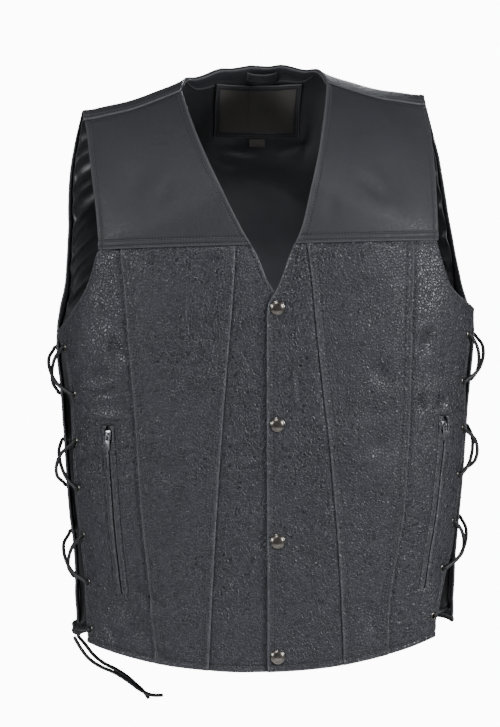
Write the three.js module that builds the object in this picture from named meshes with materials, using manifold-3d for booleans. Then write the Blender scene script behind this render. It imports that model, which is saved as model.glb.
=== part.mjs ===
// A black leather vest, filled out as it is worn, with nobody in it.
// Millimetres. +X is the wearer's left, the wearer faces -Y, +Z is up.
// The origin lies between the shoulders, at the height of the neck points.
import * as THREE from 'three';
import { mergeVertices } from 'three/addons/utils/BufferGeometryUtils.js';
import Module from 'manifold-3d';

const wasm = await Module();
wasm.setup();

// Cloth, seams and edges
const LEATHER = 2.0;
const FACING = 1.5;
const SATIN = 1.0;
const SEAM_GAP = 0.3;
const SHOULDER_GAP = 0.5;
const LAY_GAP = 0.4;
const LINING_GAP = 0.65;
const LAP_DROP = 2.6;
const PATCH_GAP = 0.2;
const FIT_SLACK = 1.0;

// The worn form: plan sections that are rounded squares, and a rolled shoulder
const ROUND = 2.35;
const ROLL_POWER = 1.55;
const ROLL_DROP = 150;
const ROLL_PATH = 215;
const RIDGE_Y = 12;
const LEAN = 12.5;
const TILT_LOW = 0.03;
const TILT_HIGH = 0.054;

// Cut lines
const YOKE_SEAM_Z = -175;
const SHOULDER_SEAM_DROP = 12;
const HEM_Z = -620;
const HEM_RISE = 26;
const HEM_HALF = 190;
const BACK_HEM_Z = -612;
const BACK_HEM_RISE = 15;
const NECK_HALF = { right: 82, left: 77 };
const BAND_DEPTH = 23;
const ARMPIT_Z = -262;

// Fastenings
const SNAP_RADIUS = 7.5;
const SNAP_HEIGHT = 3.4;
const SNAP_HEIGHTS = [-242, -363, -484, -604];
const WINDOW_HALF = 8.8;
const LIP_HALF = 8.5;
const ZIP_GAP = 2.0;
const TAPE_HALF = 11;
const SLIDER = { width: 7.6, length: 10.5, thick: 2.2, floor: -1.6 };
const BRIDGE = { width: 1.8, half: 2.9, leg: 1.2, clear: 2.3, top: 0.9 };
const PULL = { width: 5.2, length: 16, thick: 1.2, bar: 1.2, hole: 2.8, holeLength: 4.6 };

// Laced sides
const LACE_RADIUS = 2;
const HOLE_RADIUS = 2.7;
const EYELET_TOP = -278;
const EYELET_PITCH = 50;
const EYELET_ROWS = 7;
const EYELET_IN_FRONT = 3.5;
const EYELET_IN_BACK = 2.9;
const LACE_LIFT = 3.4;
const HOLE_LIFT = 1.8;
const KNOT = { across: 8, tall: 8.5, deep: 6.5 };

const DEGREE = Math.PI / 180;
const SIDES = { right: -1, left: 1 };
const FRONT = -1;
const BACK = 1;

function table(columns, rows) {
  return rows.map((row) => Object.fromEntries(columns.map((name, i) => [name, row[i]])));
}

// Plan sections of the form, by height
const SECTIONS = table(['z', 'half', 'front', 'back'], [
  [60, 150, 100, 118],
  [0, 184, 108, 124],
  [-33, 196, 112, 130],
  [-88, 210, 118, 136],
  [-166, 219, 123, 138],
  [-245, 226, 124, 132],
  [-271, 228, 124, 129],
  [-336, 223, 124, 122],
  [-441, 216, 126, 117],
  [-532, 208, 128, 120],
  [-612, 205, 129, 126],
]);

// Height of the shoulder ridge, out from the middle; the hill at the neck carries the back neck up
const RIDGE = table(['out', 'z'], [
  [0, 52],
  [30, 43],
  [60, 22],
  [82, 8],
  [104, 0],
  [136, -10],
  [158, -14],
  [180, -17.5],
  [205, -19],
  [240, -19],
]);

// Neck and front edge of each front, out from the middle on its own side (the V, then the straight edge)
const FRONT_EDGE = table(['z', 'right', 'left'], [
  [0, 82, 77],
  [-10, 80, 75],
  [-40, 74, 67],
  [-77, 64.5, 56],
  [-117, 51, 42],
  [-160, 33.5, 28],
  [-188, 19, 14],
  [-213, 10, 4],
  [-225, 3, -2],
  [-240, -6, -10],
  [-258, -12, -11],
  [-300, -13, -11],
  [-640, -13, -10.5],
]);

const INNER_SEAM = table(['z', 'right', 'left'], [
  [-175, 43, 34],
  [-263, 50, 42],
  [-336, 56, 50],
  [-418, 62, 59],
  [-500, 67, 65.5],
  [-620, 73, 71],
]);

const OUTER_SEAM = table(['z', 'right', 'left'], [
  [-175, 159, 147],
  [-263, 153, 143],
  [-313, 149, 142],
  [-364, 145, 141],
  [-416, 142, 137.5],
  [-470, 138, 133.5],
  [-505, 134, 127],
  [-541, 131, 121],
  [-582, 127, 118],
  [-620, 124, 118],
]);

const ARMHOLE_FRONT = table(['z', 'right', 'left'], [
  [-15, 188, 188.5],
  [-50, 184, 188],
  [-100, 183, 184],
  [-140, 182, 180],
  [-180, 182, 177],
]);

// The armhole's foot: height of the side panel's top edge, by distance out from the middle
const ARMPIT = table(['out', 'right', 'left'], [
  [140, -175, -175],
  [176, -175, -176],
  [181.5, -176.5, -200],
  [189, -197, -222],
  [198, -218, -232.5],
  [212, -238, -242],
  [224, -255, -250],
  [232, -265, -256],
]);

// Laced edge of the side panels, in degrees round from the centre front
const SIDE_EDGE = table(['z', 'right', 'left'], [
  [-240, 88, 80],
  [-262, 87, 75],
  [-274, 79, 71],
  [-290, 73, 70],
  [-320, 71, 70],
  [-366, 72.5, 72],
  [-430, 73, 71],
  [-480, 72, 69],
  [-515, 71, 66],
  [-545, 71, 62],
  [-566, 70.5, 57.5],
  [-600, 70, 55],
]);

// Armhole and laced edge of the back, in degrees round from the centre back, along the path from the ridge
const BACK_EDGE = table(['path', 'turn'], [
  [-49, 72],
  [-20, 76],
  [0, 78],
  [40, 77.5],
  [110, 77],
  [164, 76.5],
  [226, 77],
  [262, 79.5],
  [288, 85],
  [306, 92],
  [340, 92],
  [680, 91],
]);

// Back neckline: path down from the ridge, by the share of the neck's half width
const NECKLINE = table(['share', 'path'], [
  [0, 70],
  [0.25, 66],
  [0.44, 56],
  [0.625, 45],
  [0.775, 32],
  [0.875, 12],
  [0.94, -14],
  [0.975, -32],
  [1, -48.7],
  [4, -48.7],
]);

const POCKET_LINE = table(['z', 'right', 'left'], [
  [-340, 175, 182.5],
  [-378, 174, 181.5],
  [-426, 171, 177.5],
  [-479, 166.5, 170.5],
  [-531, 161, 161.5],
  [-560, 158, 157],
]);
const POCKET_ENDS = { right: { top: -360, bottom: -537 }, left: { top: -362, bottom: -543 } };

// Soft troughs in the worn leather, from one end to the other
const FRONT_FOLDS = table(['x1', 'z1', 'x2', 'z2', 'width', 'depth'], [
  [10, -488, 66, -522, 10, 1.8],
  [8, -474, 66, -434, 10, 1.6],
  [-176, -532, -126, -578, 8, 1.6],
  [-160, -562, -112, -594, 8, 1.5],
  [-78, -438, -16, -441, 9, 1.2],
  [-78, -520, -14, -525, 10, 1.5],
  [-74, -557, -16, -549, 9, 1.3],
  [180, -480, 190, -600, 10, 2.2],
  [-200, -312, -166, -306, 8, 1.4],
  [-120, -60, -150, -150, 16, 1.6],
  [118, -58, 150, -160, 16, 1.6],
]);
const BACK_FOLDS = table(['x1', 'z1', 'x2', 'z2', 'width', 'depth'], [
  [-150, -300, -50, -410, 18, 2.4],
  [145, -318, 58, -420, 18, 2.2],
  [-40, -180, -160, -245, 16, 1.8],
  [48, -196, 165, -262, 16, 1.8],
  [-28, -430, -92, -590, 18, 2.2],
  [40, -440, 84, -592, 18, 2.2],
  [-182, -430, -110, -452, 14, 1.8],
  [120, -470, 184, -446, 14, 1.6],
]);

const HIDE = 0x2c2c31;
const SMOOTH = new THREE.MeshStandardMaterial({ color: HIDE, roughness: 0.45, metalness: 0 });
const PEBBLED = new THREE.MeshStandardMaterial({ color: 0x2e2e34, roughness: 0.5, metalness: 0 });
const SATIN_BLACK = new THREE.MeshStandardMaterial({ color: 0x16161a, roughness: 0.35, metalness: 0 });
const LABEL_FIELD = new THREE.MeshStandardMaterial({ color: 0x22201d, roughness: 0.6, metalness: 0 });
const THONG = new THREE.MeshStandardMaterial({ color: 0x1a1a1c, roughness: 0.55, metalness: 0 });
const TAPE = new THREE.MeshStandardMaterial({ color: 0x101012, roughness: 0.8, metalness: 0 });
const GUNMETAL = new THREE.MeshStandardMaterial({ color: 0x5b5750, roughness: 0.35, metalness: 0.9 });
const NICKEL = new THREE.MeshStandardMaterial({ color: 0xa8a8aa, roughness: 0.25, metalness: 1 });

// Numbers and curves

function lerp(a, b, share) {
  return a + (b - a) * share;
}

function clamp(value, low, high) {
  return Math.min(high, Math.max(low, value));
}

function smooth(value) {
  const share = clamp(value, 0, 1);
  return share * share * (3 - 2 * share);
}

function spread(count) {
  return Array.from({ length: count + 1 }, (_, i) => i / count);
}

// A smooth curve through a table's rows that never swings past them
function curve(rows, from, to) {
  const sorted = [...rows].sort((a, b) => a[from] - b[from]);
  const xs = sorted.map((row) => row[from]);
  const ys = sorted.map((row) => row[to]);
  const last = xs.length - 1;
  const rise = xs.slice(1).map((x, i) => (ys[i + 1] - ys[i]) / (x - xs[i]));
  const slopes = xs.map((_, i) => {
    if (i === 0) return rise[0];
    if (i === last) return rise[last - 1];
    const product = rise[i - 1] * rise[i];
    return product <= 0 ? 0 : (2 * product) / (rise[i - 1] + rise[i]);
  });
  return (value) => {
    const x = clamp(value, xs[0], xs[last]);
    let i = 0;
    while (i < last - 1 && x > xs[i + 1]) i += 1;
    const step = xs[i + 1] - xs[i];
    const t = (x - xs[i]) / step;
    const back = 1 - t;
    return (1 + 2 * t) * back * back * ys[i] + t * back * back * step * slopes[i]
      + t * t * (3 - 2 * t) * ys[i + 1] - t * t * back * step * slopes[i + 1];
  };
}

function bothHands(rows, from) {
  return { right: curve(rows, from, 'right'), left: curve(rows, from, 'left') };
}

const halfAt = curve(SECTIONS, 'z', 'half');
const frontAt = curve(SECTIONS, 'z', 'front');
const backAt = curve(SECTIONS, 'z', 'back');
const ridgeOut = curve(RIDGE, 'out', 'z');
const frontEdge = bothHands(FRONT_EDGE, 'z');
const innerSeam = bothHands(INNER_SEAM, 'z');
const outerSeam = bothHands(OUTER_SEAM, 'z');
const armholeFront = bothHands(ARMHOLE_FRONT, 'z');
const armpit = bothHands(ARMPIT, 'out');
const sideEdge = bothHands(SIDE_EDGE, 'z');
const backEdge = curve(BACK_EDGE, 'path', 'turn');
const neckline = curve(NECKLINE, 'share', 'path');
const pocketLine = bothHands(POCKET_LINE, 'z');

// The form. A spot has a turn (radians round from the centre front or back, + to the wearer's left)
// and a path (down from the shoulder ridge, negative where the back wraps over to the front).

function ridgeAt(x) {
  return ridgeOut(Math.abs(x));
}

function dropAt(path) {
  if (path >= ROLL_PATH) return ROLL_DROP + path - ROLL_PATH;
  return ROLL_DROP * (1 - Math.cos((path / ROLL_PATH) * 90 * DEGREE) ** (2 / ROLL_POWER));
}

function reachAt(path) {
  if (path >= ROLL_PATH) return 1;
  return Math.sin((path / ROLL_PATH) * 90 * DEGREE) ** (2 / ROLL_POWER);
}

function pathAt(x, z) {
  const drop = ridgeAt(x) - z;
  if (drop >= ROLL_DROP) return ROLL_PATH + drop - ROLL_DROP;
  const level = 1 - Math.max(drop, 0) / ROLL_DROP;
  return (ROLL_PATH * Math.acos(level ** (ROLL_POWER / 2))) / (90 * DEGREE);
}

function turnAt(x, z) {
  const share = clamp(Math.abs(x) / halfAt(z), 0, 1);
  return Math.sign(x) * Math.asin(share ** (ROUND / 2));
}

function spotAt(side, turn, path) {
  const across = Math.sign(turn) * Math.abs(Math.sin(turn)) ** (2 / ROUND);
  const down = dropAt(Math.abs(path));
  let x = across * halfAt(-down);
  let z = 0;
  for (let round = 0; round < 6; round += 1) {
    z = ridgeAt(x) - down;
    x = across * halfAt(z);
  }
  const face = path < 0 ? -side : side;
  const faced = Math.cos(turn) < 0 ? -face : face;
  const depth = faced * (faced < 0 ? frontAt(z) : backAt(z)) * Math.abs(Math.cos(turn)) ** (2 / ROUND);
  const y = RIDGE_Y + reachAt(Math.abs(path)) * (depth - RIDGE_Y);
  return { side, turn, path, x, y, z };
}

// The vest hangs a little askew: it leans and tilts more towards the shoulders
function posed({ x, y, z }) {
  const lean = LEAN * smooth(-z / 230);
  const tilt = TILT_LOW + (TILT_HIGH - TILT_LOW) * smooth((z + 150) / 150);
  return new THREE.Vector3(x + lean, y, z + tilt * x);
}

function normalAt(side, turn, path, point) {
  const stepTurn = 0.004;
  const stepPath = 1.5;
  const alongTurn = point(turn + stepTurn, path).sub(point(turn - stepTurn, path));
  const alongPath = point(turn, path + stepPath).sub(point(turn, path - stepPath));
  return alongTurn.cross(alongPath).multiplyScalar(side).normalize();
}

function foldDepth(side, { x, z }) {
  let depth = 0;
  for (const fold of side === FRONT ? FRONT_FOLDS : BACK_FOLDS) {
    const run = new THREE.Vector2(fold.x2 - fold.x1, fold.z2 - fold.z1);
    const length = run.length();
    run.divideScalar(length);
    const from = new THREE.Vector2(x - fold.x1, z - fold.z1);
    const along = from.dot(run) / length;
    const away = (from.cross(run)) / fold.width;
    if (along > 0 && along < 1) depth += fold.depth * Math.sin(along * Math.PI) ** 2 * Math.exp(-away * away);
  }
  return depth;
}

function surface(side, turn, path) {
  const plain = (t, p) => posed(spotAt(side, t, p));
  const spot = spotAt(side, turn, path);
  const depth = path > 0 ? foldDepth(side, spot) : 0;
  return plain(turn, path).addScaledVector(normalAt(side, turn, path, plain), -depth);
}

// A point of the cloth, moved out (+) or in (-) along the form's normal
function skin(side, turn, path, lift) {
  const point = (t, p) => surface(side, t, p);
  return point(turn, path).addScaledVector(normalAt(side, turn, path, point), lift);
}

// Panels

// Finds the spot at a share across (u) and up (v) a panel that four edges bound
function spotIn(panel, u, v) {
  let spot = spotAt(panel.side, panel.startTurn, 300);
  for (let round = 0; round < 24; round += 1) {
    const turn = lerp(panel.inner(spot), panel.outer(spot), u);
    const path = lerp(panel.bottom(spot), panel.top(spot), v);
    spot = spotAt(panel.side, lerp(spot.turn, turn, 0.6), lerp(spot.path, path, 0.6));
  }
  return spot;
}

function gridOf(panel, lift) {
  return panel.rows.map((v) => panel.columns.map((u) => {
    const spot = spotIn(panel, u, v);
    return skin(panel.side, spot.turn, spot.path, typeof lift === 'function' ? lift(spot, u, v) : lift);
  }));
}

// One closed wall between two grids of points, with a rim round it
function wallOf(outer, inner) {
  const rows = outer.length;
  const columns = outer[0].length;
  const points = [...outer.flat(), ...inner.flat()];
  const at = (layer, i, j) => layer * rows * columns + i * columns + j;
  const faces = [];
  const quad = (a, b, c, d) => faces.push(a, b, c, a, c, d);
  for (let i = 0; i < rows - 1; i += 1) {
    for (let j = 0; j < columns - 1; j += 1) {
      quad(at(0, i, j), at(0, i, j + 1), at(0, i + 1, j + 1), at(0, i + 1, j));
      quad(at(1, i, j), at(1, i + 1, j), at(1, i + 1, j + 1), at(1, i, j + 1));
    }
    quad(at(0, i, 0), at(0, i + 1, 0), at(1, i + 1, 0), at(1, i, 0));
    quad(at(0, i + 1, columns - 1), at(0, i, columns - 1), at(1, i, columns - 1), at(1, i + 1, columns - 1));
  }
  for (let j = 0; j < columns - 1; j += 1) {
    quad(at(0, 0, j + 1), at(0, 0, j), at(1, 0, j), at(1, 0, j + 1));
    quad(at(0, rows - 1, j), at(0, rows - 1, j + 1), at(1, rows - 1, j + 1), at(1, rows - 1, j));
  }
  return facedOut(points.flatMap((p) => [p.x, p.y, p.z]), faces);
}

function facedOut(positions, faces) {
  const corner = (index) => new THREE.Vector3().fromArray(positions, index * 3);
  let volume = 0;
  for (let f = 0; f < faces.length; f += 3) {
    volume += corner(faces[f]).dot(corner(faces[f + 1]).cross(corner(faces[f + 2])));
  }
  const turned = volume < 0 ? faces.slice().reverse() : faces;
  const geometry = new THREE.BufferGeometry();
  geometry.setAttribute('position', new THREE.Float32BufferAttribute(positions, 3));
  geometry.setIndex(turned);
  return geometry;
}

function panelWall(panel, outerLift, innerLift) {
  return wallOf(gridOf(panel, outerLift), gridOf(panel, innerLift));
}

// Solid joins and cuts

function solidOf(geometry) {
  const bare = geometry.clone();
  bare.deleteAttribute('normal');
  bare.deleteAttribute('uv');
  const merged = mergeVertices(bare, 1e-4);
  return new wasm.Manifold(new wasm.Mesh({
    numProp: 3,
    vertProperties: new Float32Array(merged.attributes.position.array),
    triVerts: new Uint32Array(merged.index.array),
  }));
}

function geometryOf(solid) {
  const mesh = solid.getMesh();
  const geometry = new THREE.BufferGeometry();
  geometry.setAttribute('position', new THREE.BufferAttribute(new Float32Array(mesh.vertProperties), 3));
  geometry.setIndex(new THREE.BufferAttribute(new Uint32Array(mesh.triVerts), 1));
  return geometry;
}

function cutAway(geometry, tools) {
  return geometryOf(tools.reduce((solid, tool) => solid.subtract(solidOf(tool)), solidOf(geometry)));
}

function joined(geometries) {
  const [first, ...rest] = geometries.map(solidOf);
  return geometryOf(rest.reduce((solid, next) => solid.add(next), first));
}

// Edges shared by the panels

const halfGap = SEAM_GAP / 2;

function edgeTurn(hand, distance) {
  return ({ z }) => turnAt(SIDES[hand] * distance(z), z);
}

function besideTurn(hand, distance, offset) {
  return edgeTurn(hand, (z) => distance(z) + offset);
}

function hemHeight(x) {
  return HEM_Z + HEM_RISE * (x / HEM_HALF) ** 2;
}

function frontHem({ x }) {
  return pathAt(x, hemHeight(x));
}

function yokeLine(offset) {
  return ({ x }) => pathAt(x, YOKE_SEAM_Z) + offset;
}

// The right front dips where the left front laps over it
function lapLift(hand, { x, z }) {
  if (hand === 'left') return 0;
  return -LAP_DROP * smooth((x + 42) / 24) * smooth((-150 - z) / 40);
}

function leatherWall(hand, panel) {
  return panelWall(panel, (spot) => lapLift(hand, spot), (spot) => lapLift(hand, spot) - LEATHER);
}

const liningFace = -LEATHER - LINING_GAP - SATIN;

// Fronts

const shoulderSeamPath = pathAt(104, ridgeOut(104) - SHOULDER_SEAM_DROP);

function yoke(hand) {
  return leatherWall(hand, {
    side: FRONT,
    inner: edgeTurn(hand, frontEdge[hand]),
    outer: edgeTurn(hand, armholeFront[hand]),
    bottom: yokeLine(-halfGap),
    top: () => shoulderSeamPath + SHOULDER_GAP,
    columns: spread(9),
    rows: [0, 0.12, 0.24, 0.36, 0.48, 0.6, 0.71, 0.81, 0.9, 1],
    startTurn: SIDES[hand] * 0.4,
  });
}

function centrePanel(hand) {
  return leatherWall(hand, {
    side: FRONT,
    inner: edgeTurn(hand, frontEdge[hand]),
    outer: besideTurn(hand, innerSeam[hand], -halfGap),
    bottom: frontHem,
    top: yokeLine(halfGap),
    columns: spread(6),
    rows: spread(18),
    startTurn: SIDES[hand] * 0.1,
  });
}

function middlePanel(hand) {
  return leatherWall(hand, {
    side: FRONT,
    inner: besideTurn(hand, innerSeam[hand], halfGap),
    outer: besideTurn(hand, outerSeam[hand], -halfGap),
    bottom: frontHem,
    top: yokeLine(halfGap),
    columns: spread(7),
    rows: spread(14),
    startTurn: SIDES[hand] * 0.4,
  });
}

function sidePanelEdges(hand) {
  return {
    side: FRONT,
    inner: besideTurn(hand, outerSeam[hand], halfGap),
    outer: ({ z }) => SIDES[hand] * sideEdge[hand](z) * DEGREE,
    bottom: frontHem,
    top: ({ x }) => pathAt(x, armpit[hand](Math.abs(x))) + halfGap,
    columns: [0, 0.12, 0.24, 0.36, 0.5, 0.64, 0.78, 0.9, 1],
    rows: spread(14),
    startTurn: SIDES[hand] * 0.9,
  };
}

function sidePanel(hand) {
  const wall = leatherWall(hand, sidePanelEdges(hand));
  const holes = eyeletHeights().map((z) => holePunch(frontEyelet(hand, z)));
  return cutAway(wall, [pocketStrip(hand, -WINDOW_HALF, WINDOW_HALF, 3, -6, 0), ...holes]);
}

// Pockets: strips that follow the pocket line, given by how far they lie from it

function pocketStrip(hand, from, to, liftOut, liftIn, endIn, shape = {}) {
  const ends = POCKET_ENDS[hand];
  const out = (share) => (typeof from === 'function' ? lerp(from(share), to(share), 1) : to);
  const start = (share) => (typeof from === 'function' ? from(share) : from);
  const turnFor = (offset) => ({ z, turn }) => {
    const share = (ends.top - z) / (ends.top - ends.bottom);
    const slant = Math.abs(Math.sin(turn)) > 0.1 ? 0.73 : 1;
    return turnAt(SIDES[hand] * (pocketLine[hand](z) + offset(share) * slant), z);
  };
  const panel = {
    side: FRONT,
    inner: turnFor(start),
    outer: turnFor(out),
    bottom: ({ x }) => pathAt(x, ends.bottom + endIn),
    top: ({ x }) => pathAt(x, ends.top - endIn),
    columns: shape.columns ?? spread(2),
    rows: shape.rows ?? spread(8),
    startTurn: SIDES[hand] * 0.85,
  };
  return panelWall(panel, liftOut, liftIn);
}

// Half of the gap between the lips: it opens round the slider
function gapHalf(share) {
  const round = (share - sliderShare) / 0.05;
  return ZIP_GAP / 2 + 4.4 * Math.exp(-(round ** 4));
}

const sliderShare = 0.06;
const lipRows = [0, 0.02, 0.035, 0.06, 0.085, 0.1, 0.14, 0.3, 0.44, 0.58, 0.72, 0.86, 1].map((v) => 1 - v).reverse();

function pocketLip(hand, inward) {
  const reach = inward ? -1 : 1;
  const near = (share) => reach * gapHalf(share);
  const far = () => reach * LIP_HALF;
  return pocketStrip(hand, near, far, 0.3, -1.5, 0.4, { rows: lipRows, columns: spread(2) });
}

function zipTape(hand) {
  const rib = (spot, u, v) => (Math.abs(u - 0.5) < 0.1 && Math.abs(v - 0.5) < 0.46 ? -1.9 : -2.6);
  const rows = [0, 0.036, 0.045, 0.15, 0.3, 0.5, 0.7, 0.85, 0.955, 0.964, 1];
  return pocketStrip(hand, -TAPE_HALF, TAPE_HALF, rib, -3.6, -5, { columns: [0, 0.38, 0.42, 0.58, 0.62, 1], rows });
}

// Axes at the slider: down the zip, across it and out of the cloth
function sliderFrame(hand) {
  const ends = POCKET_ENDS[hand];
  const z = lerp(ends.top, ends.bottom, sliderShare);
  const place = (height) => {
    const x = SIDES[hand] * pocketLine[hand](height);
    return skin(FRONT, turnAt(x, height), pathAt(x, height), 0);
  };
  const x = SIDES[hand] * pocketLine[hand](z);
  const origin = place(z);
  const down = place(z - 5).sub(place(z + 5)).normalize();
  const out = skin(FRONT, turnAt(x, z), pathAt(x, z), 1).sub(origin).normalize();
  const across = new THREE.Vector3().crossVectors(out, down).normalize();
  out.crossVectors(down, across);
  return new THREE.Matrix4().makeBasis(down, across, out).setPosition(origin);
}

// Side view of the bridge, a staple that the pull hangs on, drawn down the zip and out of the cloth
function bridgeOutline() {
  const floor = SLIDER.floor + SLIDER.thick;
  const high = floor + BRIDGE.clear;
  const shape = new THREE.Shape();
  shape.moveTo(-BRIDGE.half, floor - 1);
  shape.lineTo(BRIDGE.half, floor - 1);
  shape.lineTo(BRIDGE.half, high);
  shape.lineTo(BRIDGE.half - 0.9, high + BRIDGE.top);
  shape.lineTo(-BRIDGE.half + 0.9, high + BRIDGE.top);
  shape.lineTo(-BRIDGE.half, high);
  const inside = BRIDGE.half - BRIDGE.leg;
  const gap = new THREE.Path();
  gap.moveTo(-inside, floor);
  gap.lineTo(-inside, high);
  gap.lineTo(inside, high);
  gap.lineTo(inside, floor);
  shape.holes.push(gap);
  return shape;
}

function zipSlider(hand) {
  const body = new THREE.Shape();
  const half = SLIDER.length / 2;
  const side = SLIDER.width / 2;
  body.moveTo(-half, -side + 1);
  body.lineTo(-half + 1.5, -side);
  body.lineTo(half - 2, -side);
  body.lineTo(half, -side + 2);
  body.lineTo(half, side - 2);
  body.lineTo(half - 2, side);
  body.lineTo(-half + 1.5, side);
  body.lineTo(-half, side - 1);
  const plate = new THREE.ExtrudeGeometry(body, { depth: SLIDER.thick, bevelEnabled: false });
  plate.translate(0, 0, SLIDER.floor);
  const bridge = new THREE.ExtrudeGeometry(bridgeOutline(), { depth: BRIDGE.width, bevelEnabled: false });
  bridge.rotateX(90 * DEGREE).translate(0, BRIDGE.width / 2, 0);
  return joined([plate, bridge]).applyMatrix4(sliderFrame(hand));
}

const pullAxisLift = SLIDER.floor + SLIDER.thick + BRIDGE.clear / 2;

function zipPull(hand) {
  const side = PULL.width / 2;
  const foot = PULL.length - PULL.bar / 2;
  const shape = new THREE.Shape();
  shape.moveTo(-PULL.bar / 2, -side);
  shape.lineTo(foot - 1.6, -side);
  shape.absarc(foot - 1.6, -side + 1.6, 1.6, -90 * DEGREE, 0, false);
  shape.absarc(foot - 1.6, side - 1.6, 1.6, 0, 90 * DEGREE, false);
  shape.lineTo(-PULL.bar / 2, side);
  const eye = new THREE.Path();
  eye.moveTo(PULL.bar / 2, -PULL.hole / 2);
  eye.lineTo(PULL.bar / 2, PULL.hole / 2);
  eye.lineTo(PULL.bar / 2 + PULL.holeLength, PULL.hole / 2);
  eye.lineTo(PULL.bar / 2 + PULL.holeLength, -PULL.hole / 2);
  shape.holes.push(eye);
  const tab = new THREE.ExtrudeGeometry(shape, { depth: PULL.thick, bevelEnabled: false, curveSegments: 3 });
  return tab.translate(0, 0, pullAxisLift - PULL.thick / 2).applyMatrix4(sliderFrame(hand));
}

// Back, lining and neck

const backColumnsOut = [17, 34, 48, 60, 69, 75, 79.5, 95, 115, 138, 160];
const backColumnsRim = [0.925, 0.97];
const backColumnsHalf = [...backColumnsOut.map((x) => turnAt(x, -10) / (78 * DEGREE)), ...backColumnsRim];
const backColumns = [-1, ...backColumnsHalf.map((u) => -u).reverse(), 0, ...backColumnsHalf, 1]
  .map((u) => (1 + u) / 2);

function neckShare({ x }) {
  return Math.abs(x) / (x < 0 ? NECK_HALF.right : NECK_HALF.left);
}

function backTop(spot) {
  return neckline(neckShare(spot));
}

function backHem({ x }) {
  return pathAt(x, BACK_HEM_Z + BACK_HEM_RISE * (x / HEM_HALF) ** 2);
}

function backEdgeTurn(sign) {
  return ({ path }) => sign * backEdge(path) * DEGREE;
}

function backPanel(top, rows, columns) {
  return {
    side: BACK,
    inner: backEdgeTurn(-1),
    outer: backEdgeTurn(1),
    bottom: backHem,
    top,
    columns,
    rows,
    startTurn: 0.001,
  };
}

// Rows up to the foot of the neck band, closer together over the shoulders
const backRows = [0, 0.075, 0.15, 0.225, 0.3, 0.375, 0.445, 0.5, 0.545, 0.59, 0.64, 0.69, 0.735, 0.775,
  0.815, 0.855, 0.89, 0.925, 0.96, 1];
const backGridLow = (lift) => gridOf(backPanel((spot) => backTop(spot) + BAND_DEPTH, backRows, backColumns), lift);
const backGridTop = (lift) => gridOf(backPanel(backTop, [1], backColumns), lift);

function backWall() {
  const outer = [...backGridLow(0), ...backGridTop(0)];
  const inner = [...backGridLow(-LEATHER), ...backGridTop(-LEATHER)];
  const punches = ['right', 'left'].flatMap((hand) => eyeletHeights().map((z) => holePunch(backEyelet(hand, z))));
  return cutAway(wallOf(outer, inner), punches);
}

function nudged(point, towards, distance) {
  const run = towards.clone().sub(point);
  return point.clone().addScaledVector(run, distance / run.length());
}

// The lining lies on the back's own points, moved in. It stops near the armhole's edge, and further
// from the laced edge, so the eyelets go through leather alone
function trimmedGrid(grid) {
  const inset = grid.map((row) => smooth((ARMPIT_Z + 70 - row[0].z) / 70) * 0.92);
  return grid.map((row, i) => {
    const last = row.length - 1;
    const cut = row.slice(1, last);
    cut[0] = row[1].clone().lerp(row[2], inset[i]);
    cut[last - 2] = row[last - 1].clone().lerp(row[last - 2], inset[i]);
    return i === 0 ? cut.map((p, j) => p.lerp(grid[1][j + 1], 0.3)) : cut;
  });
}

function liningWall() {
  const shorten = (grid) => {
    const top = grid.length - 1;
    grid[top] = grid[top].map((p, j) => nudged(p, grid[top - 1][j], SEAM_GAP));
    return grid;
  };
  const outer = shorten(trimmedGrid(backGridLow(-LEATHER - LINING_GAP)));
  const inner = shorten(trimmedGrid(backGridLow(liningFace)));
  return wallOf(outer, inner);
}

function neckBand() {
  const reach = backColumnsOut.indexOf(79.5) + 1;
  const middle = (backColumns.length - 1) / 2;
  const layer = (lift) => {
    const low = backGridLow(lift);
    const foot = low[low.length - 1];
    const rim = backGridTop(lift)[0].map((p, j) => nudged(p, foot[j], 1.5));
    return [foot, rim].map((row) => row.slice(middle - reach, middle + reach + 1));
  };
  return wallOf(layer(-LEATHER - LINING_GAP), layer(-LEATHER - LINING_GAP - FACING));
}

// A small level piece inside the back neck, centred at x, between two heights
function neckPiece({ x, width, top, bottom, thick }, lift, across, rowCount) {
  const level = (z) => (spot) => pathAt(spot.x, z - NECK_SLOPE * (spot.x - LABEL.x));
  const panel = {
    side: BACK,
    inner: ({ z }) => turnAt(x - width / 2, z),
    outer: ({ z }) => turnAt(x + width / 2, z),
    bottom: level(bottom),
    top: level(top),
    columns: spread(across),
    rows: spread(rowCount),
    startTurn: 0.05,
  };
  return panelWall(panel, (spot, u) => lift(u), (spot, u) => lift(u) - thick);
}

const NECK_SLOPE = 0.055;
const LABEL = { x: 9, width: 100, top: 8.5, bottom: -47.5, thick: 1.2 };
const TAB = { x: 11, width: 18, top: -48.2, bottom: -57, thick: 0.8 };
const HANGER = { x: 13, width: 36, top: 22, bottom: 14, thick: 1.2, bulge: 4 };
const bandFace = -LEATHER - LINING_GAP - FACING;

function labelPatch() {
  return neckPiece(LABEL, () => liningFace - PATCH_GAP - FIT_SLACK, 8, 5);
}

function sizeTab() {
  return neckPiece(TAB, () => liningFace - PATCH_GAP - FIT_SLACK, 2, 1);
}

function hangerLoop() {
  return neckPiece(HANGER, (u) => bandFace - 0.5 - HANGER.bulge * Math.sin(Math.PI * u) ** 0.8, 8, 1);
}

// Snaps: a domed cap with a rolled rim

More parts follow.
